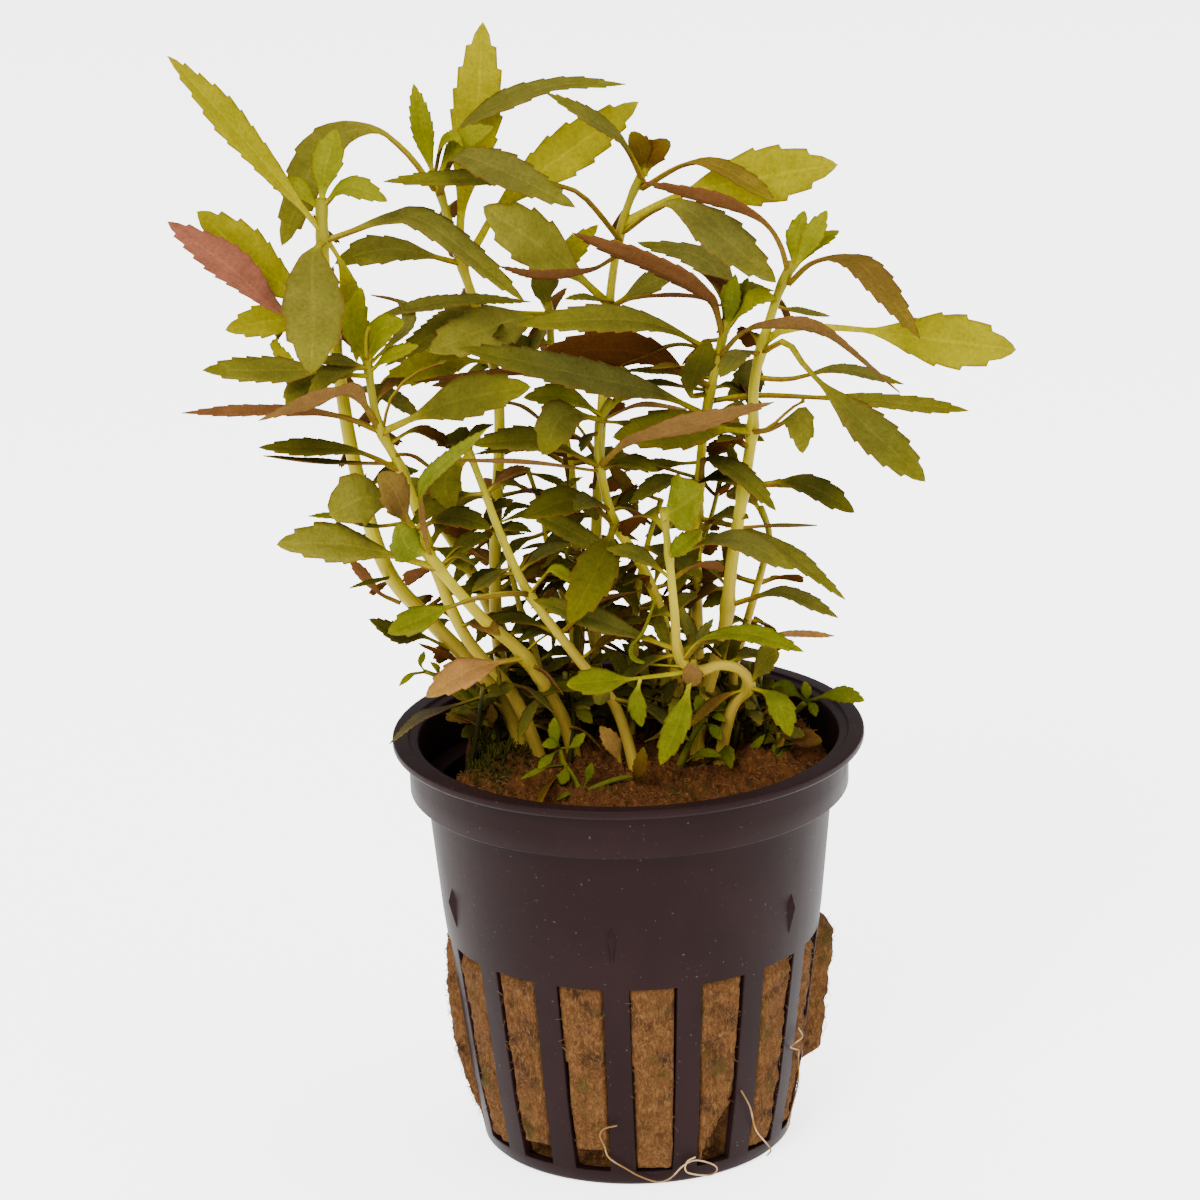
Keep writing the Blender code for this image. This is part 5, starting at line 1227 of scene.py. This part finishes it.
def build_pot(settings):
    """A turned wall with a lip, a collar and a step, with upright slots and small pointed lugs."""
    shape = Shape()
    groove_low, groove_high = GROOVE_ROWS
    outside = [*UNDERSIDE]
    first_out = len(outside)
    outside += [(wall_radius(height), height) for height in (*SLOT_ROWS, *UPPER_ROWS, TOP_ROW)]
    outside += [(wall_radius(groove_low) - GROOVE_DEPTH, groove_low), (wall_radius(groove_high), groove_high)]
    outside += COLLAR
    inside = [*RIM_INSIDE]
    inside += [(wall_radius(height) - WALL, height) for height in reversed(UPPER_ROWS)]
    first_in = len(outside) + len(inside)
    inside += [(wall_radius(height) - WALL, height) for height in reversed(SLOT_ROWS)]
    inside += [(wall_radius(BASE_THICKNESS) - WALL, BASE_THICKNESS), (0.0, BASE_THICKNESS)]
    rings = []
    for radius, height in outside + inside:
        if radius == 0.0:
            rings.append([shape.add((0.0, 0.0, height))])
        else:
            angles = pot_column_angles(height)
            rings.append([shape.add(round_place(radius, angle, height)) for angle in angles])
    count = len(rings[1])
    per_slot = len(SLOT_COLUMNS) + len(RIB_COLUMNS)
    open_rows = len(SLOT_ROWS) - 1

    def in_slot(column):
        return column % per_slot < len(SLOT_COLUMNS) - 1

    for row, (lower, upper) in enumerate(zip(rings, rings[1:])):
        opens = first_out <= row < first_out + open_rows or first_in <= row < first_in + open_rows
        for i in range(count):
            j = (i + 1) % count
            if opens and in_slot(i):
                continue
            if len(lower) == 1:
                shape.face((lower[0], upper[j], upper[i]))
            elif len(upper) == 1:
                shape.face((lower[i], lower[j], upper[0]))
            else:
                shape.face((lower[i], lower[j], upper[j], upper[i]))
    for column in range(count):
        offset = column % per_slot
        after = (column + 1) % count
        for row in range(open_rows):
            out_low, out_high = rings[first_out + row], rings[first_out + row + 1]
            in_low, in_high = rings[first_in + open_rows - row], rings[first_in + open_rows - row - 1]
            if offset == 0:
                shape.face((out_low[column], out_high[column], in_high[column], in_low[column]))
            if offset == len(SLOT_COLUMNS) - 1:
                shape.face((out_high[column], out_low[column], in_low[column], in_high[column]))
        if in_slot(column):
            sill_out, sill_in = rings[first_out], rings[first_in + open_rows]
            head_out, head_in = rings[first_out + open_rows], rings[first_in]
            shape.face((sill_out[column], sill_out[after], sill_in[after], sill_in[column]))
            shape.face((head_out[after], head_out[column], head_in[column], head_in[after]))
    for index in range(LUG_COUNT):
        add_lug(shape, radians(FRONT_LUG_ANGLE + index * 360.0 / LUG_COUNT))
    finish = shared("pot_plastic_finish", lambda: plastic_finish(settings))
    pot = shape.object("net_pot", [finish], "pot_plastic", "pot")
    tidy_normals(pot)
    bevel = pot.modifiers.new("moulded_edges", "BEVEL")
    bevel.width = settings.edge_radius
    bevel.segments = 2
    bevel.limit_method = "ANGLE"
    bevel.angle_limit = radians(BEVEL_ANGLE)
    bevel.harden_normals = False
    pot.data.set_sharp_from_angle(angle=radians(SHARP_ANGLE))


def add_lug(shape, angle):
    """A slender pointed rib on the wall above the slots, with a facet on each side of its ridge."""
    low, high = LUG_HEIGHTS
    middle = low + LUG_MIDDLE * (high - low)
    turn = Matrix.Rotation(angle, 3, "Z")

    def spot(height, across, proud):
        return shape.add(turn @ Vector((wall_radius(height) + proud, across, height)))

    foot = spot(low, 0.0, -LUG_SINK)
    left = spot(middle, -LUG_WIDTH / 2, -LUG_SINK)
    head = spot(high, 0.0, -LUG_SINK)
    right = spot(middle, LUG_WIDTH / 2, -LUG_SINK)
    ridge_low = spot(low + RIDGE_START_RISE, 0.0, RIDGE_START_RELIEF)
    ridge = spot(middle, 0.0, LUG_RELIEF)
    shape.face((foot, left, head, right))
    shape.face((foot, ridge_low, left))
    shape.face((ridge_low, ridge, left))
    shape.face((left, ridge, head))
    shape.face((head, ridge, right))
    shape.face((right, ridge, ridge_low))
    shape.face((right, ridge_low, foot))


def tidy_normals(obj):
    """Turns every face of a closed mesh outwards."""
    work = bmesh.new()
    work.from_mesh(obj.data)
    bmesh.ops.recalc_face_normals(work, faces=work.faces)
    work.to_mesh(obj.data)
    work.free()


def wool_fills(index, offset, height):
    """Whether the wool reaches the wall at a place in a slot, whose offset is in degrees to the right."""
    start, low, high = WOOL_GAPS.get(index, NO_GAP)
    ragged = 0.5 * sin(height * 2.1 + index) + 0.4 * sin(height * 4.7)
    edge = low + (high - low) * smooth_step(*GAP_HEIGHTS, height)
    return height > start + 0.3 * ragged and offset < edge + ragged


def hill(x, y, middle_x, middle_y, reach_x, reach_y):
    """A smooth hill of height 1 round its middle."""
    return exp(-((x - middle_x) / reach_x) ** 2 - ((y - middle_y) / reach_y) ** 2)


def moss_share(x, y):
    """How mossy the wool's top is: at the left, and at the back on the right."""
    return max(hill(x, y, *patch) for patch in MOSS_PATCHES)


def wool_surface(x, y):
    """Height of the lumpy top of the wool."""
    lumps = 0.7 * (sin(x * 0.45 + 0.8) * cos(y * 0.38) + 0.6 * sin(x * 0.9 - y * 0.7 + 2.0))
    lumps += BACK_LUMP_HEIGHT * hill(x, y, *BACK_LUMP)
    coarse = noise(Vector((x, y, 0.0)) * 0.6)
    fine = noise(Vector((x, y, 7.0)) * 1.5)
    return WOOL_TOP + lumps + coarse + 0.8 * fine


def wool_edge(angle):
    """Radius of the plug's top edge, which leaves a dark gap to the wall at the left."""
    from_left = (degrees(angle) % 360.0 - NOTCH_ANGLE) / NOTCH_REACH
    ragged = EDGE_ROUGHNESS * noise(Vector((cos(angle), sin(angle), 0.0)) * 4.0)
    return WOOL_TOP_RADIUS - WOOL_CLEARANCE - WOOL_NOTCH * exp(-from_left ** 2) + ragged


def wool_side_radius(angle, height):
    """Radius of the plug's side: inside the wall, or out in a slot with a rough face."""
    position = (degrees(angle) - FRONT_SLOT_ANGLE) / SLOT_PITCH
    nearest = floor(position + 0.5)
    index = nearest % SLOT_COUNT
    offset = (position - nearest) * SLOT_PITCH
    half = slot_half_angle(height)
    side = half - SLOT_SIDE_MARGIN
    foot, head = SLOT_BOTTOM + SLOT_END_MARGIN, SLOT_TOP - SLOT_END_MARGIN
    backed = wall_radius(height) - WALL - WOOL_CLEARANCE
    if abs(offset) > side or not foot < height < head:
        return backed
    x, y = cos(angle) * ROUGH_RADIUS, sin(angle) * ROUGH_RADIUS
    rough = COARSE_ROUGHNESS * noise(Vector((x, y, height)) * 0.7)
    rough += FINE_ROUGHNESS * noise(Vector((x, y, height * 0.6)) * 2.0)
    if not wool_fills(index, offset, height):
        return backed - EMPTY_DEPTH + rough
    middle = sin(pi * (height - SLOT_BOTTOM) / (SLOT_TOP - SLOT_BOTTOM))
    cheek = smooth_step(side, half - CHEEK_REACH, abs(offset))
    ends = smooth_step(foot, SLOT_BOTTOM + END_REACH, height)
    ends *= smooth_step(head, SLOT_TOP - END_REACH, height)
    if index == FLAP_SLOT:
        middle = smooth_step(*FLAP_FOOT, height + rough) * smooth_step(*FLAP_HEAD, height)
        middle *= 0.95 + 0.3 * rough
        rough *= FLAP_ROUGHNESS
    face = wall_radius(height) - FACE_DEPTH + 0.4 * cheek * ends
    face += WOOL_BULGES.get(index, 0.0) * middle * (0.6 + 0.4 * cheek)
    if index == 0:
        face += FRONT_TUFT_HEIGHT * hill(offset, height, *FRONT_TUFT)
    return face + rough * (0.4 + 0.6 * cheek)


def build_wool(settings):
    """The plug: rough tongues in the slots, a lumpy mossy top and a gap to the wall at the left."""
    shape = Shape()
    slot_rows = [WOOL_SLOT_FOOT + WOOL_SLOT_SPACING * step for step in range(WOOL_SLOT_ROWS)]
    angles = [2 * pi * (column + 0.5) / WOOL_COLUMNS for column in range(WOOL_COLUMNS)]
    rings = []
    for height in (WOOL_FOOT, *slot_rows, *WOOL_UPPER_ROWS):
        ring = []
        for angle in angles:
            radius = wool_side_radius(angle, height)
            if height > WOOL_EDGE_START:
                radius = min(radius, wool_edge(angle))
            ring.append(shape.add(round_place(radius, angle, height)))
        rings.append(ring)
    for height, share in WOOL_SHOULDER:
        ring = []
        for angle in angles:
            radius = wool_edge(angle) * share
            x, y = radius * cos(angle), radius * sin(angle)
            top = height if height else wool_surface(x, y) - SHOULDER_DROP
            ring.append(shape.add((x, y, top), (moss_share(x, y), 0.0, 1.0)))
        rings.append(ring)
    for step in range(TOP_RINGS, 0, -1):
        share = TOP_SHARE * step / TOP_RINGS
        ring = []
        for angle in angles:
            radius = wool_edge(angle) * share
            x, y = radius * cos(angle), radius * sin(angle)
            grit = GRIT_HEIGHT * noise(Vector((x, y, 3.0)) * GRIT_SCALE) * min(1.0, share * GRIT_FADE)
            ring.append(shape.add((x, y, wool_surface(x, y) + grit), (moss_share(x, y), 0.0, 1.0)))
        rings.append(ring)
    for lower, upper in zip(rings, rings[1:]):
        shape.band(lower, upper)
    shape.face(reversed(rings[0]))
    centre = shape.add((0.0, 0.0, wool_surface(0.0, 0.0)), (0.0, 0.0, 1.0))
    last = rings[-1]
    for here, after in zip(last, last[1:] + last[:1]):
        shape.face((here, after, centre))
    finish = shared("rockwool_finish", lambda: wool_finish(settings))
    shape.object("wool_plug", [finish], "rockwool_fibre", "rockwool")


def build_stems(settings):
    """Every stem with the small leaves of its crown and side shoots."""
    colours = palette(settings)
    finishes = [shared("stem_finish", stem_finish), shared("leaf_finish", leaf_finish)]
    for name, (radius, (x, y), places) in STEMS.items():
        shape = Shape()
        joints = [leaf[-1][0] for leaf in [*LEAVES.values(), *SMALL_LEAVES] if leaf[0] == name]
        grow_stem(shape, colours, radius, [(x, y, STEM_FOOT), (x, y, STEM_START)] + places, joints)
        for number, leaf in enumerate(SMALL_LEAVES):
            if leaf[0] == name:
                grow_leaf(shape, colours, settings, *leaf[1:], seed=number, finish=1)
        shape.object(f"stalk_{name}", finishes, "stem_green", f"stem_{name}")


def build_leaves(settings):
    """Each large leaf as a piece of its own."""
    colours = palette(settings)
    for number, (name, leaf) in enumerate(LEAVES.items()):
        shape = Shape()
        grow_leaf(shape, colours, settings, *leaf[1:], seed=LEAF_SEEDS + number)
        shape.object(f"blade_{name}", [shared("leaf_finish", leaf_finish)], "leaf_green", f"leaf_{name}")


def build_inner_leaves(settings):
    """The thin back stems, and on every stem the leaves past the solid model's nodes."""
    colours = palette(settings)
    finishes = [shared("stem_finish", stem_finish), shared("leaf_finish", leaf_finish)]
    for name in [*STEMS, *THIN_STEMS]:
        leaves = [leaf for leaf in MORE_LEAVES if leaf[0] == name]
        first_seed = INNER_LEAF_SEEDS + ord(name) * GROUP_SEEDS
        shape = Shape()
        if name in THIN_STEMS:
            radius, (x, y), places = THIN_STEMS[name]
            places = [(x, y, STEM_FOOT), (x, y, STEM_START)] + places
            grow_stem(shape, colours, radius, places, [leaf[-1][0] for leaf in leaves], sides=8)
        for number, leaf in enumerate(leaves):
            grow_leaf(shape, colours, settings, *leaf[1:], seed=first_seed + number, columns=7, finish=1)
        grow_filler(shape, colours, settings, name)
        shape.object(f"inner_leaves_{name}", finishes, "leaf_green")


def arched(root, reach, rise):
    """The midrib of a leaf that reaches out from its root and is lifted at its middle."""
    return [root, root + reach * 0.5 + Vector((0.0, 0.0, rise)), root + reach]


def grow_shaded_leaf(shape, colours, settings, draw, size, widths, faces, stalk, midrib, columns):
    """Adds one small shaded leaf, whose width, face and colours are drawn."""
    width = size * draw.uniform(*widths)
    face = draw.uniform(*faces)
    grow_leaf(shape, colours, settings, width, face, *draw.choice(FILLER_COLOURS), stalk, midrib,
              draw.randrange(FILLER_SEEDS), columns=columns, finish=1)


def grow_filler(shape, colours, settings, name):
    """Adds small shaded leaves in pairs along one stem, and leaves that point to the back."""
    draw = Random(name)
    _, (x, y), places = STEMS.get(name) or THIN_STEMS[name]
    route = smooth_route([(x, y, STEM_START)] + places)
    distance = draw.uniform(*PAIR_START)
    heading = draw.uniform(0.0, pi)
    while distance < route[1][-1] - PAIR_END:
        root = along_route(route, distance)
        for angle in (heading, heading + pi):
            out = Vector((cos(angle), sin(angle), draw.uniform(*PAIR_SLOPE)))
            size = draw.uniform(*PAIR_SIZE)
            leaf = arched(root, out * size, size * PAIR_ARCH)
            if root.z < FILLER_TOP and inside_bunch(leaf[-1]):
                grow_shaded_leaf(shape, colours, settings, draw, size, PAIR_WIDTH, PAIR_FACE, PAIR_STALK,
                                 leaf, columns=5)
        if root.z > WOOL_TOP + BACK_START:
            spread = LOW_SPREAD if root.z < BACK_DENSE_TOP else HIGH_SPREAD
            out = Matrix.Rotation(draw.uniform(*BACK_SPREAD) * spread, 3, "Z") @ -FRONT
            size = min(draw.uniform(*BACK_SIZE), (BACK_LIMIT - root.y) / out.y)
            out.z += draw.uniform(*BACK_SLOPE)
            leaf = arched(root, out * size, size * draw.uniform(*BACK_ARCH))
            grow_shaded_leaf(shape, colours, settings, draw, size, BACK_WIDTH, BACK_FACE, BACK_STALK,
                             leaf, columns=7)
        distance += draw.uniform(*PAIR_SPACING)
        heading += pi / 2 + draw.uniform(*PAIR_TURN)


def inside_bunch(place):
    """Whether a small shaded leaf may reach a place: inside the bunch, which is wider at the top."""
    share = smooth_step(WOOL_TOP, FILLER_TOP, place.z)
    left, right = (foot + (top - foot) * share for foot, top in (FILLER_LEFT, FILLER_RIGHT))
    return left < place.x < right and FILLER_FRONT < place.y < FILLER_BACK


def build_seedlings(settings):
    """Young plants on the wool with their round leaves, and the dead leaves beside them."""
    colours = palette(settings)
    bright = blend_colour(colours["fresh"], colours["lime"], 0.4)
    dark = blend_colour(colours["fresh"], colours["deep"], 0.5)
    young = {**colours, "green": colours["fresh"], "lime": bright, "deep": dark, "stem_foot": bright,
             "stem_top": bright}
    finishes = [shared("stem_finish", stem_finish), shared("leaf_finish", leaf_finish)]
    for number, (name, (radius, places, leaves)) in enumerate(SEEDLINGS.items()):
        first_seed = SEEDLING_SEEDS + number * GROUP_SEEDS
        shape = Shape()
        grow_stem(shape, young, radius, places, [leaf[-1][0] for leaf in leaves], sides=8, thin_top=0.8)
        for count, leaf in enumerate(leaves):
            grow_leaf(shape, young, settings, *leaf, seed=first_seed + count, columns=7, finish=1)
        shape.object(f"seedling_{name}", finishes, "leaf_green")
    shape = Shape()
    for number, leaf in enumerate(FALLEN_LEAVES):
        grow_leaf(shape, colours, settings, *leaf, seed=FALLEN_LEAF_SEEDS + number, columns=7)
    shape.object("fallen_leaves", [shared("leaf_finish", leaf_finish)], "leaf_green")
    shape = Shape()
    draw = Random(LOW_SHOOT_SEED)
    # The low shoots' stems and crowns take the deep green of shaded leaves: painted shade.
    shaded = {**colours, "stem_foot": colours["deep"], "stem_top": colours["deep"], "crown": colours["deep"]}
    for _ in range(settings.low_shoots):
        grow_low_shoot(shape, shaded, settings, draw)
    shape.object("low_shoots", finishes, "leaf_green")


def grow_low_shoot(shape, colours, settings, draw):
    """Adds one short dark shoot at the back of the wool, with a few small leaves."""
    angle = draw.uniform(0.0, pi)
    reach = SHOOT_REACH * sqrt(draw.random())
    foot = Vector((reach * cos(angle), reach * sin(angle) - SHOOT_FORWARD, WOOL_TOP - SHOOT_SINK))
    head = foot + Vector([draw.uniform(*span) for span in SHOOT_HEAD])
    waist = foot.lerp(head, 0.5) + Vector((draw.uniform(*SHOOT_WAIST), draw.uniform(*SHOOT_WAIST), 0.0))
    grow_stem(shape, colours, SHOOT_RADIUS, [foot, waist, head], [head], sides=6, thin_top=0.8)
    for _ in range(draw.randrange(*SHOOT_LEAVES)):
        root = waist.lerp(head, draw.uniform(0.0, 1.0))
        heading = draw.uniform(0.0, 2 * pi)
        size = draw.uniform(*SHOOT_LEAF_SIZE)
        out = Vector((cos(heading), sin(heading), draw.uniform(*SHOOT_LEAF_SLOPE))) * size
        grow_shaded_leaf(shape, colours, settings, draw, size, SHOOT_LEAF_WIDTH, SHOOT_LEAF_FACE,
                         SHOOT_LEAF_STALK, arched(root, out, SHOOT_LEAF_ARCH), columns=5)


def draw_top_place(draw, margin):
    """A place drawn evenly over the top of the wool, but for a margin round it."""
    angle = draw.uniform(0.0, 2 * pi)
    reach = sqrt(draw.random()) * (wool_edge(angle) - margin)
    return reach * cos(angle), reach * sin(angle)


def build_fibres(settings):
    """Short fuzz all over the wool that shows, the long loose fibres on the pot, and the moss."""
    shape = Shape()
    draw = Random(FIBRE_SEED)
    for index in range(settings.fibres):
        if index % 2:
            x, y = draw_top_place(draw, FUZZ_EDGE)
            root = Vector((x, y, wool_surface(x, y) - FUZZ_SINK))
            outward = Vector((0.0, 0.0, 1.0))
            radii = TOP_FUZZ_RADIUS
        else:
            height = draw.uniform(SLOT_BOTTOM + FUZZ_FOOT, SLOT_TOP - FUZZ_HEAD)
            half = radians(slot_half_angle(height)) - FUZZ_SIDE
            slot_angle = radians(FRONT_SLOT_ANGLE + draw.randrange(SLOT_COUNT) * SLOT_PITCH)
            angle = slot_angle + draw.uniform(-half, half)
            root = Vector(round_place(wool_side_radius(angle, height) - FUZZ_SINK, angle, height))
            outward = Vector((cos(angle), sin(angle), 0.0))
            radii = SIDE_FUZZ_RADIUS
        lean = Vector([draw.uniform(-1.0, 1.0) for _ in range(3)])
        lean -= outward * lean.dot(outward) * FUZZ_FLATNESS
        middle = root + outward * draw.uniform(*FUZZ_RISE) + lean * FUZZ_BEND
        tip = middle + lean * draw.uniform(*FUZZ_TIP_LEAN) + outward * draw.uniform(*FUZZ_TIP_RISE)
        add_thread(shape, [root, middle, tip], draw.uniform(*radii), sides=3)
    for places in LOOSE_FIBRES:
        dense = smooth_route(places)[0]
        add_thread(shape, dense[::3] + [dense[-1]], LOOSE_FIBRE_RADIUS, sides=5, finish=1)
    short = shared("fibre_finish", lambda: fibre_finish("fibre_finish", settings.dry, settings.loose))
    long = shared("thread_finish", lambda: fibre_finish("thread_finish", settings.loose, settings.thread))
    shape.object("wool_fibres", [short, long], "rockwool_fibre")
    build_moss(settings)


def build_moss(settings):
    """Short upright moss threads on the mossy parts of the wool."""
    shape = Shape()
    draw = Random(MOSS_SEED)
    grown = 0
    while grown < settings.moss_threads:
        x, y = draw_top_place(draw, MOSS_EDGE)
        share = moss_share(x, y)
        if draw.random() > share ** 2:
            continue
        grown += 1
        root = Vector((x, y, wool_surface(x, y) - FUZZ_SINK))
        lean = Vector((draw.uniform(*MOSS_LEAN), draw.uniform(*MOSS_LEAN), 0.0))
        rise = Vector((0.0, 0.0, draw.uniform(*MOSS_RISE) * share))
        places = [root, root + rise * 0.5 + lean * 0.3, root + rise + lean]
        add_thread(shape, places, draw.uniform(*MOSS_RADIUS), sides=4)
    shape.object("moss", [shared("moss_finish", lambda: moss_finish(settings))], "leaf_green")


def add_thread(shape, places, radius, sides, finish=0):
    """Adds one closed thread along a line of places."""
    across = Vector((0.31, 0.52, 0.79))
    angles = [2 * pi * side / sides for side in range(sides)]
    rings = []
    for index, place in enumerate(places):
        along = (places[min(index + 1, len(places) - 1)] - places[max(index - 1, 0)]).normalized()
        across = (across - along * across.dot(along)).normalized()
        other = along.cross(across)
        rings.append([shape.add(place + (across * cos(angle) + other * sin(angle)) * radius)
                      for angle in angles])
    shape.tube(rings, finish)


def build_stage(settings):
    """Camera at the photograph's angle, a pale floor and soft light."""
    back = Vector((0.0, -cos(settings.tilt), sin(settings.tilt)))
    level = Vector((1.0, 0.0, 0.0))
    rise = back.cross(level)
    right = level * cos(settings.roll) + rise * sin(settings.roll)
    top = rise * cos(settings.roll) - level * sin(settings.roll)
    target = Vector(CAMERA_TARGET) * MM
    data = bpy.data.cameras.new("photo_camera")
    data.lens = settings.lens
    data.sensor_width = SENSOR_WIDTH
    data.clip_start = NEAR_CLIP
    camera = bpy.data.objects.new("photo_camera", data)
    camera.matrix_world = Matrix((
        (right.x, top.x, back.x, 0.0), (right.y, top.y, back.y, 0.0), (right.z, top.z, back.z, 0.0),
        (0.0, 0.0, 0.0, 1.0)))
    camera.location = target + back * settings.distance
    bpy.context.scene.collection.objects.link(camera)
    bpy.context.scene.camera = camera
    paint = Paint("floor_finish", roughness=0.9)
    shade = paint.noise(scale=3.0, detail=2.0)
    shade_colour = (0.86, 0.86, 0.85)
    paint.set("Base Color", paint.mix(shade * 0.06, tuple(settings.floor), shade_colour))
    paint.set("Emission Color", (1.0, 1.0, 1.0))
    paint.set("Emission Strength", settings.glow)
    work = bmesh.new()
    bmesh.ops.create_grid(work, x_segments=FLOOR_CELLS, y_segments=FLOOR_CELLS, size=FLOOR_REACH)
    mesh = bpy.data.meshes.new("floor")
    work.to_mesh(mesh)
    work.free()
    mesh.materials.append(paint.material)
    floor_object = bpy.data.objects.new("floor", mesh)
    bpy.context.scene.collection.objects.link(floor_object)
    world = bpy.data.worlds.new("studio")
    world.use_nodes = True
    sky = world.node_tree.nodes["Background"].inputs
    sky["Color"].default_value = (1.0, 1.0, 1.0, 1.0)
    sky["Strength"].default_value = settings.sky
    bpy.context.scene.world = world
    for light in LIGHTS:
        add_light(*light)


def add_light(name, place, size, power):
    """A soft square light that faces the plant."""
    data = bpy.data.lights.new(name, "AREA")
    data.size = size
    data.energy = power
    light = bpy.data.objects.new(name, data)
    light.location = place
    light.rotation_euler = (Vector(LIGHT_TARGET) - Vector(place)).to_track_quat("-Z", "Y").to_euler()
    bpy.context.scene.collection.objects.link(light)


class PLANT_OT_stage(bpy.types.Operator):
    """Add the camera, the floor and the lights"""
    bl_idname = "plant.stage"
    bl_label = "Stage"

    def execute(self, context):
        build_stage(context.scene.plant_stage)
        return {"FINISHED"}


class PLANT_OT_net_pot(bpy.types.Operator):
    """Add the slotted net pot"""
    bl_idname = "plant.net_pot"
    bl_label = "Net pot"

    def execute(self, context):
        build_pot(context.scene.plant_pot)
        return {"FINISHED"}


class PLANT_OT_wool_plug(bpy.types.Operator):
    """Add the rockwool plug"""
    bl_idname = "plant.wool_plug"
    bl_label = "Rockwool plug"

    def execute(self, context):
        build_wool(context.scene.plant_wool)
        return {"FINISHED"}


class PLANT_OT_stems(bpy.types.Operator):
    """Add the stems with their small leaves"""
    bl_idname = "plant.stems"
    bl_label = "Stems"

    def execute(self, context):
        build_stems(context.scene.plant_leaf)
        return {"FINISHED"}


class PLANT_OT_leaves(bpy.types.Operator):
    """Add the large leaves"""
    bl_idname = "plant.leaves"
    bl_label = "Leaves"

    def execute(self, context):
        build_leaves(context.scene.plant_leaf)
        return {"FINISHED"}


class PLANT_OT_inner_leaves(bpy.types.Operator):
    """Add the thin back stems and the leaves between the others"""
    bl_idname = "plant.inner_leaves"
    bl_label = "Inner leaves"

    def execute(self, context):
        build_inner_leaves(context.scene.plant_leaf)
        return {"FINISHED"}


class PLANT_OT_seedlings(bpy.types.Operator):
    """Add the seedlings and the dead leaves on the wool"""
    bl_idname = "plant.seedlings"
    bl_label = "Seedlings"

    def execute(self, context):
        build_seedlings(context.scene.plant_leaf)
        return {"FINISHED"}


class PLANT_OT_fibres(bpy.types.Operator):
    """Add the fuzz of the wool and its loose fibres"""
    bl_idname = "plant.fibres"
    bl_label = "Fibres"

    def execute(self, context):
        build_fibres(context.scene.plant_wool)
        return {"FINISHED"}


STEPS = ("plant.stage", "plant.net_pot", "plant.wool_plug", "plant.stems", "plant.leaves",
         "plant.inner_leaves", "plant.seedlings", "plant.fibres")


class PLANT_PT_sidebar(bpy.types.Panel):
    """Lists the steps that build the plant"""
    bl_idname = "PLANT_PT_sidebar"
    bl_label = "Potted plant"
    bl_space_type = "VIEW_3D"
    bl_region_type = "UI"
    bl_category = "Plant"

    def draw(self, context):
        for step in STEPS:
            self.layout.operator(step)
        for group in SETTINGS:
            for name in SETTINGS[group].__annotations__:
                self.layout.prop(getattr(context.scene, group), name)


SETTINGS = {"plant_pot": PotSettings, "plant_wool": WoolSettings, "plant_leaf": LeafSettings,
            "plant_stage": StageSettings}
CLASSES = (*SETTINGS.values(), PLANT_OT_stage, PLANT_OT_net_pot, PLANT_OT_wool_plug, PLANT_OT_stems,
           PLANT_OT_leaves, PLANT_OT_inner_leaves, PLANT_OT_seedlings, PLANT_OT_fibres, PLANT_PT_sidebar)


def register():
    for cls in CLASSES:
        bpy.utils.register_class(cls)
    for name, group in SETTINGS.items():
        setattr(bpy.types.Scene, name, PointerProperty(type=group))


def unregister():
    for name in SETTINGS:
        delattr(bpy.types.Scene, name)
    for cls in reversed(CLASSES):
        bpy.utils.unregister_class(cls)


def main():
    """Registers the add-on and builds every piece in order."""
    register()
    for step in STEPS:
        group, name = step.split(".")
        getattr(getattr(bpy.ops, group), name)()


if __name__ == "__main__":
    main()
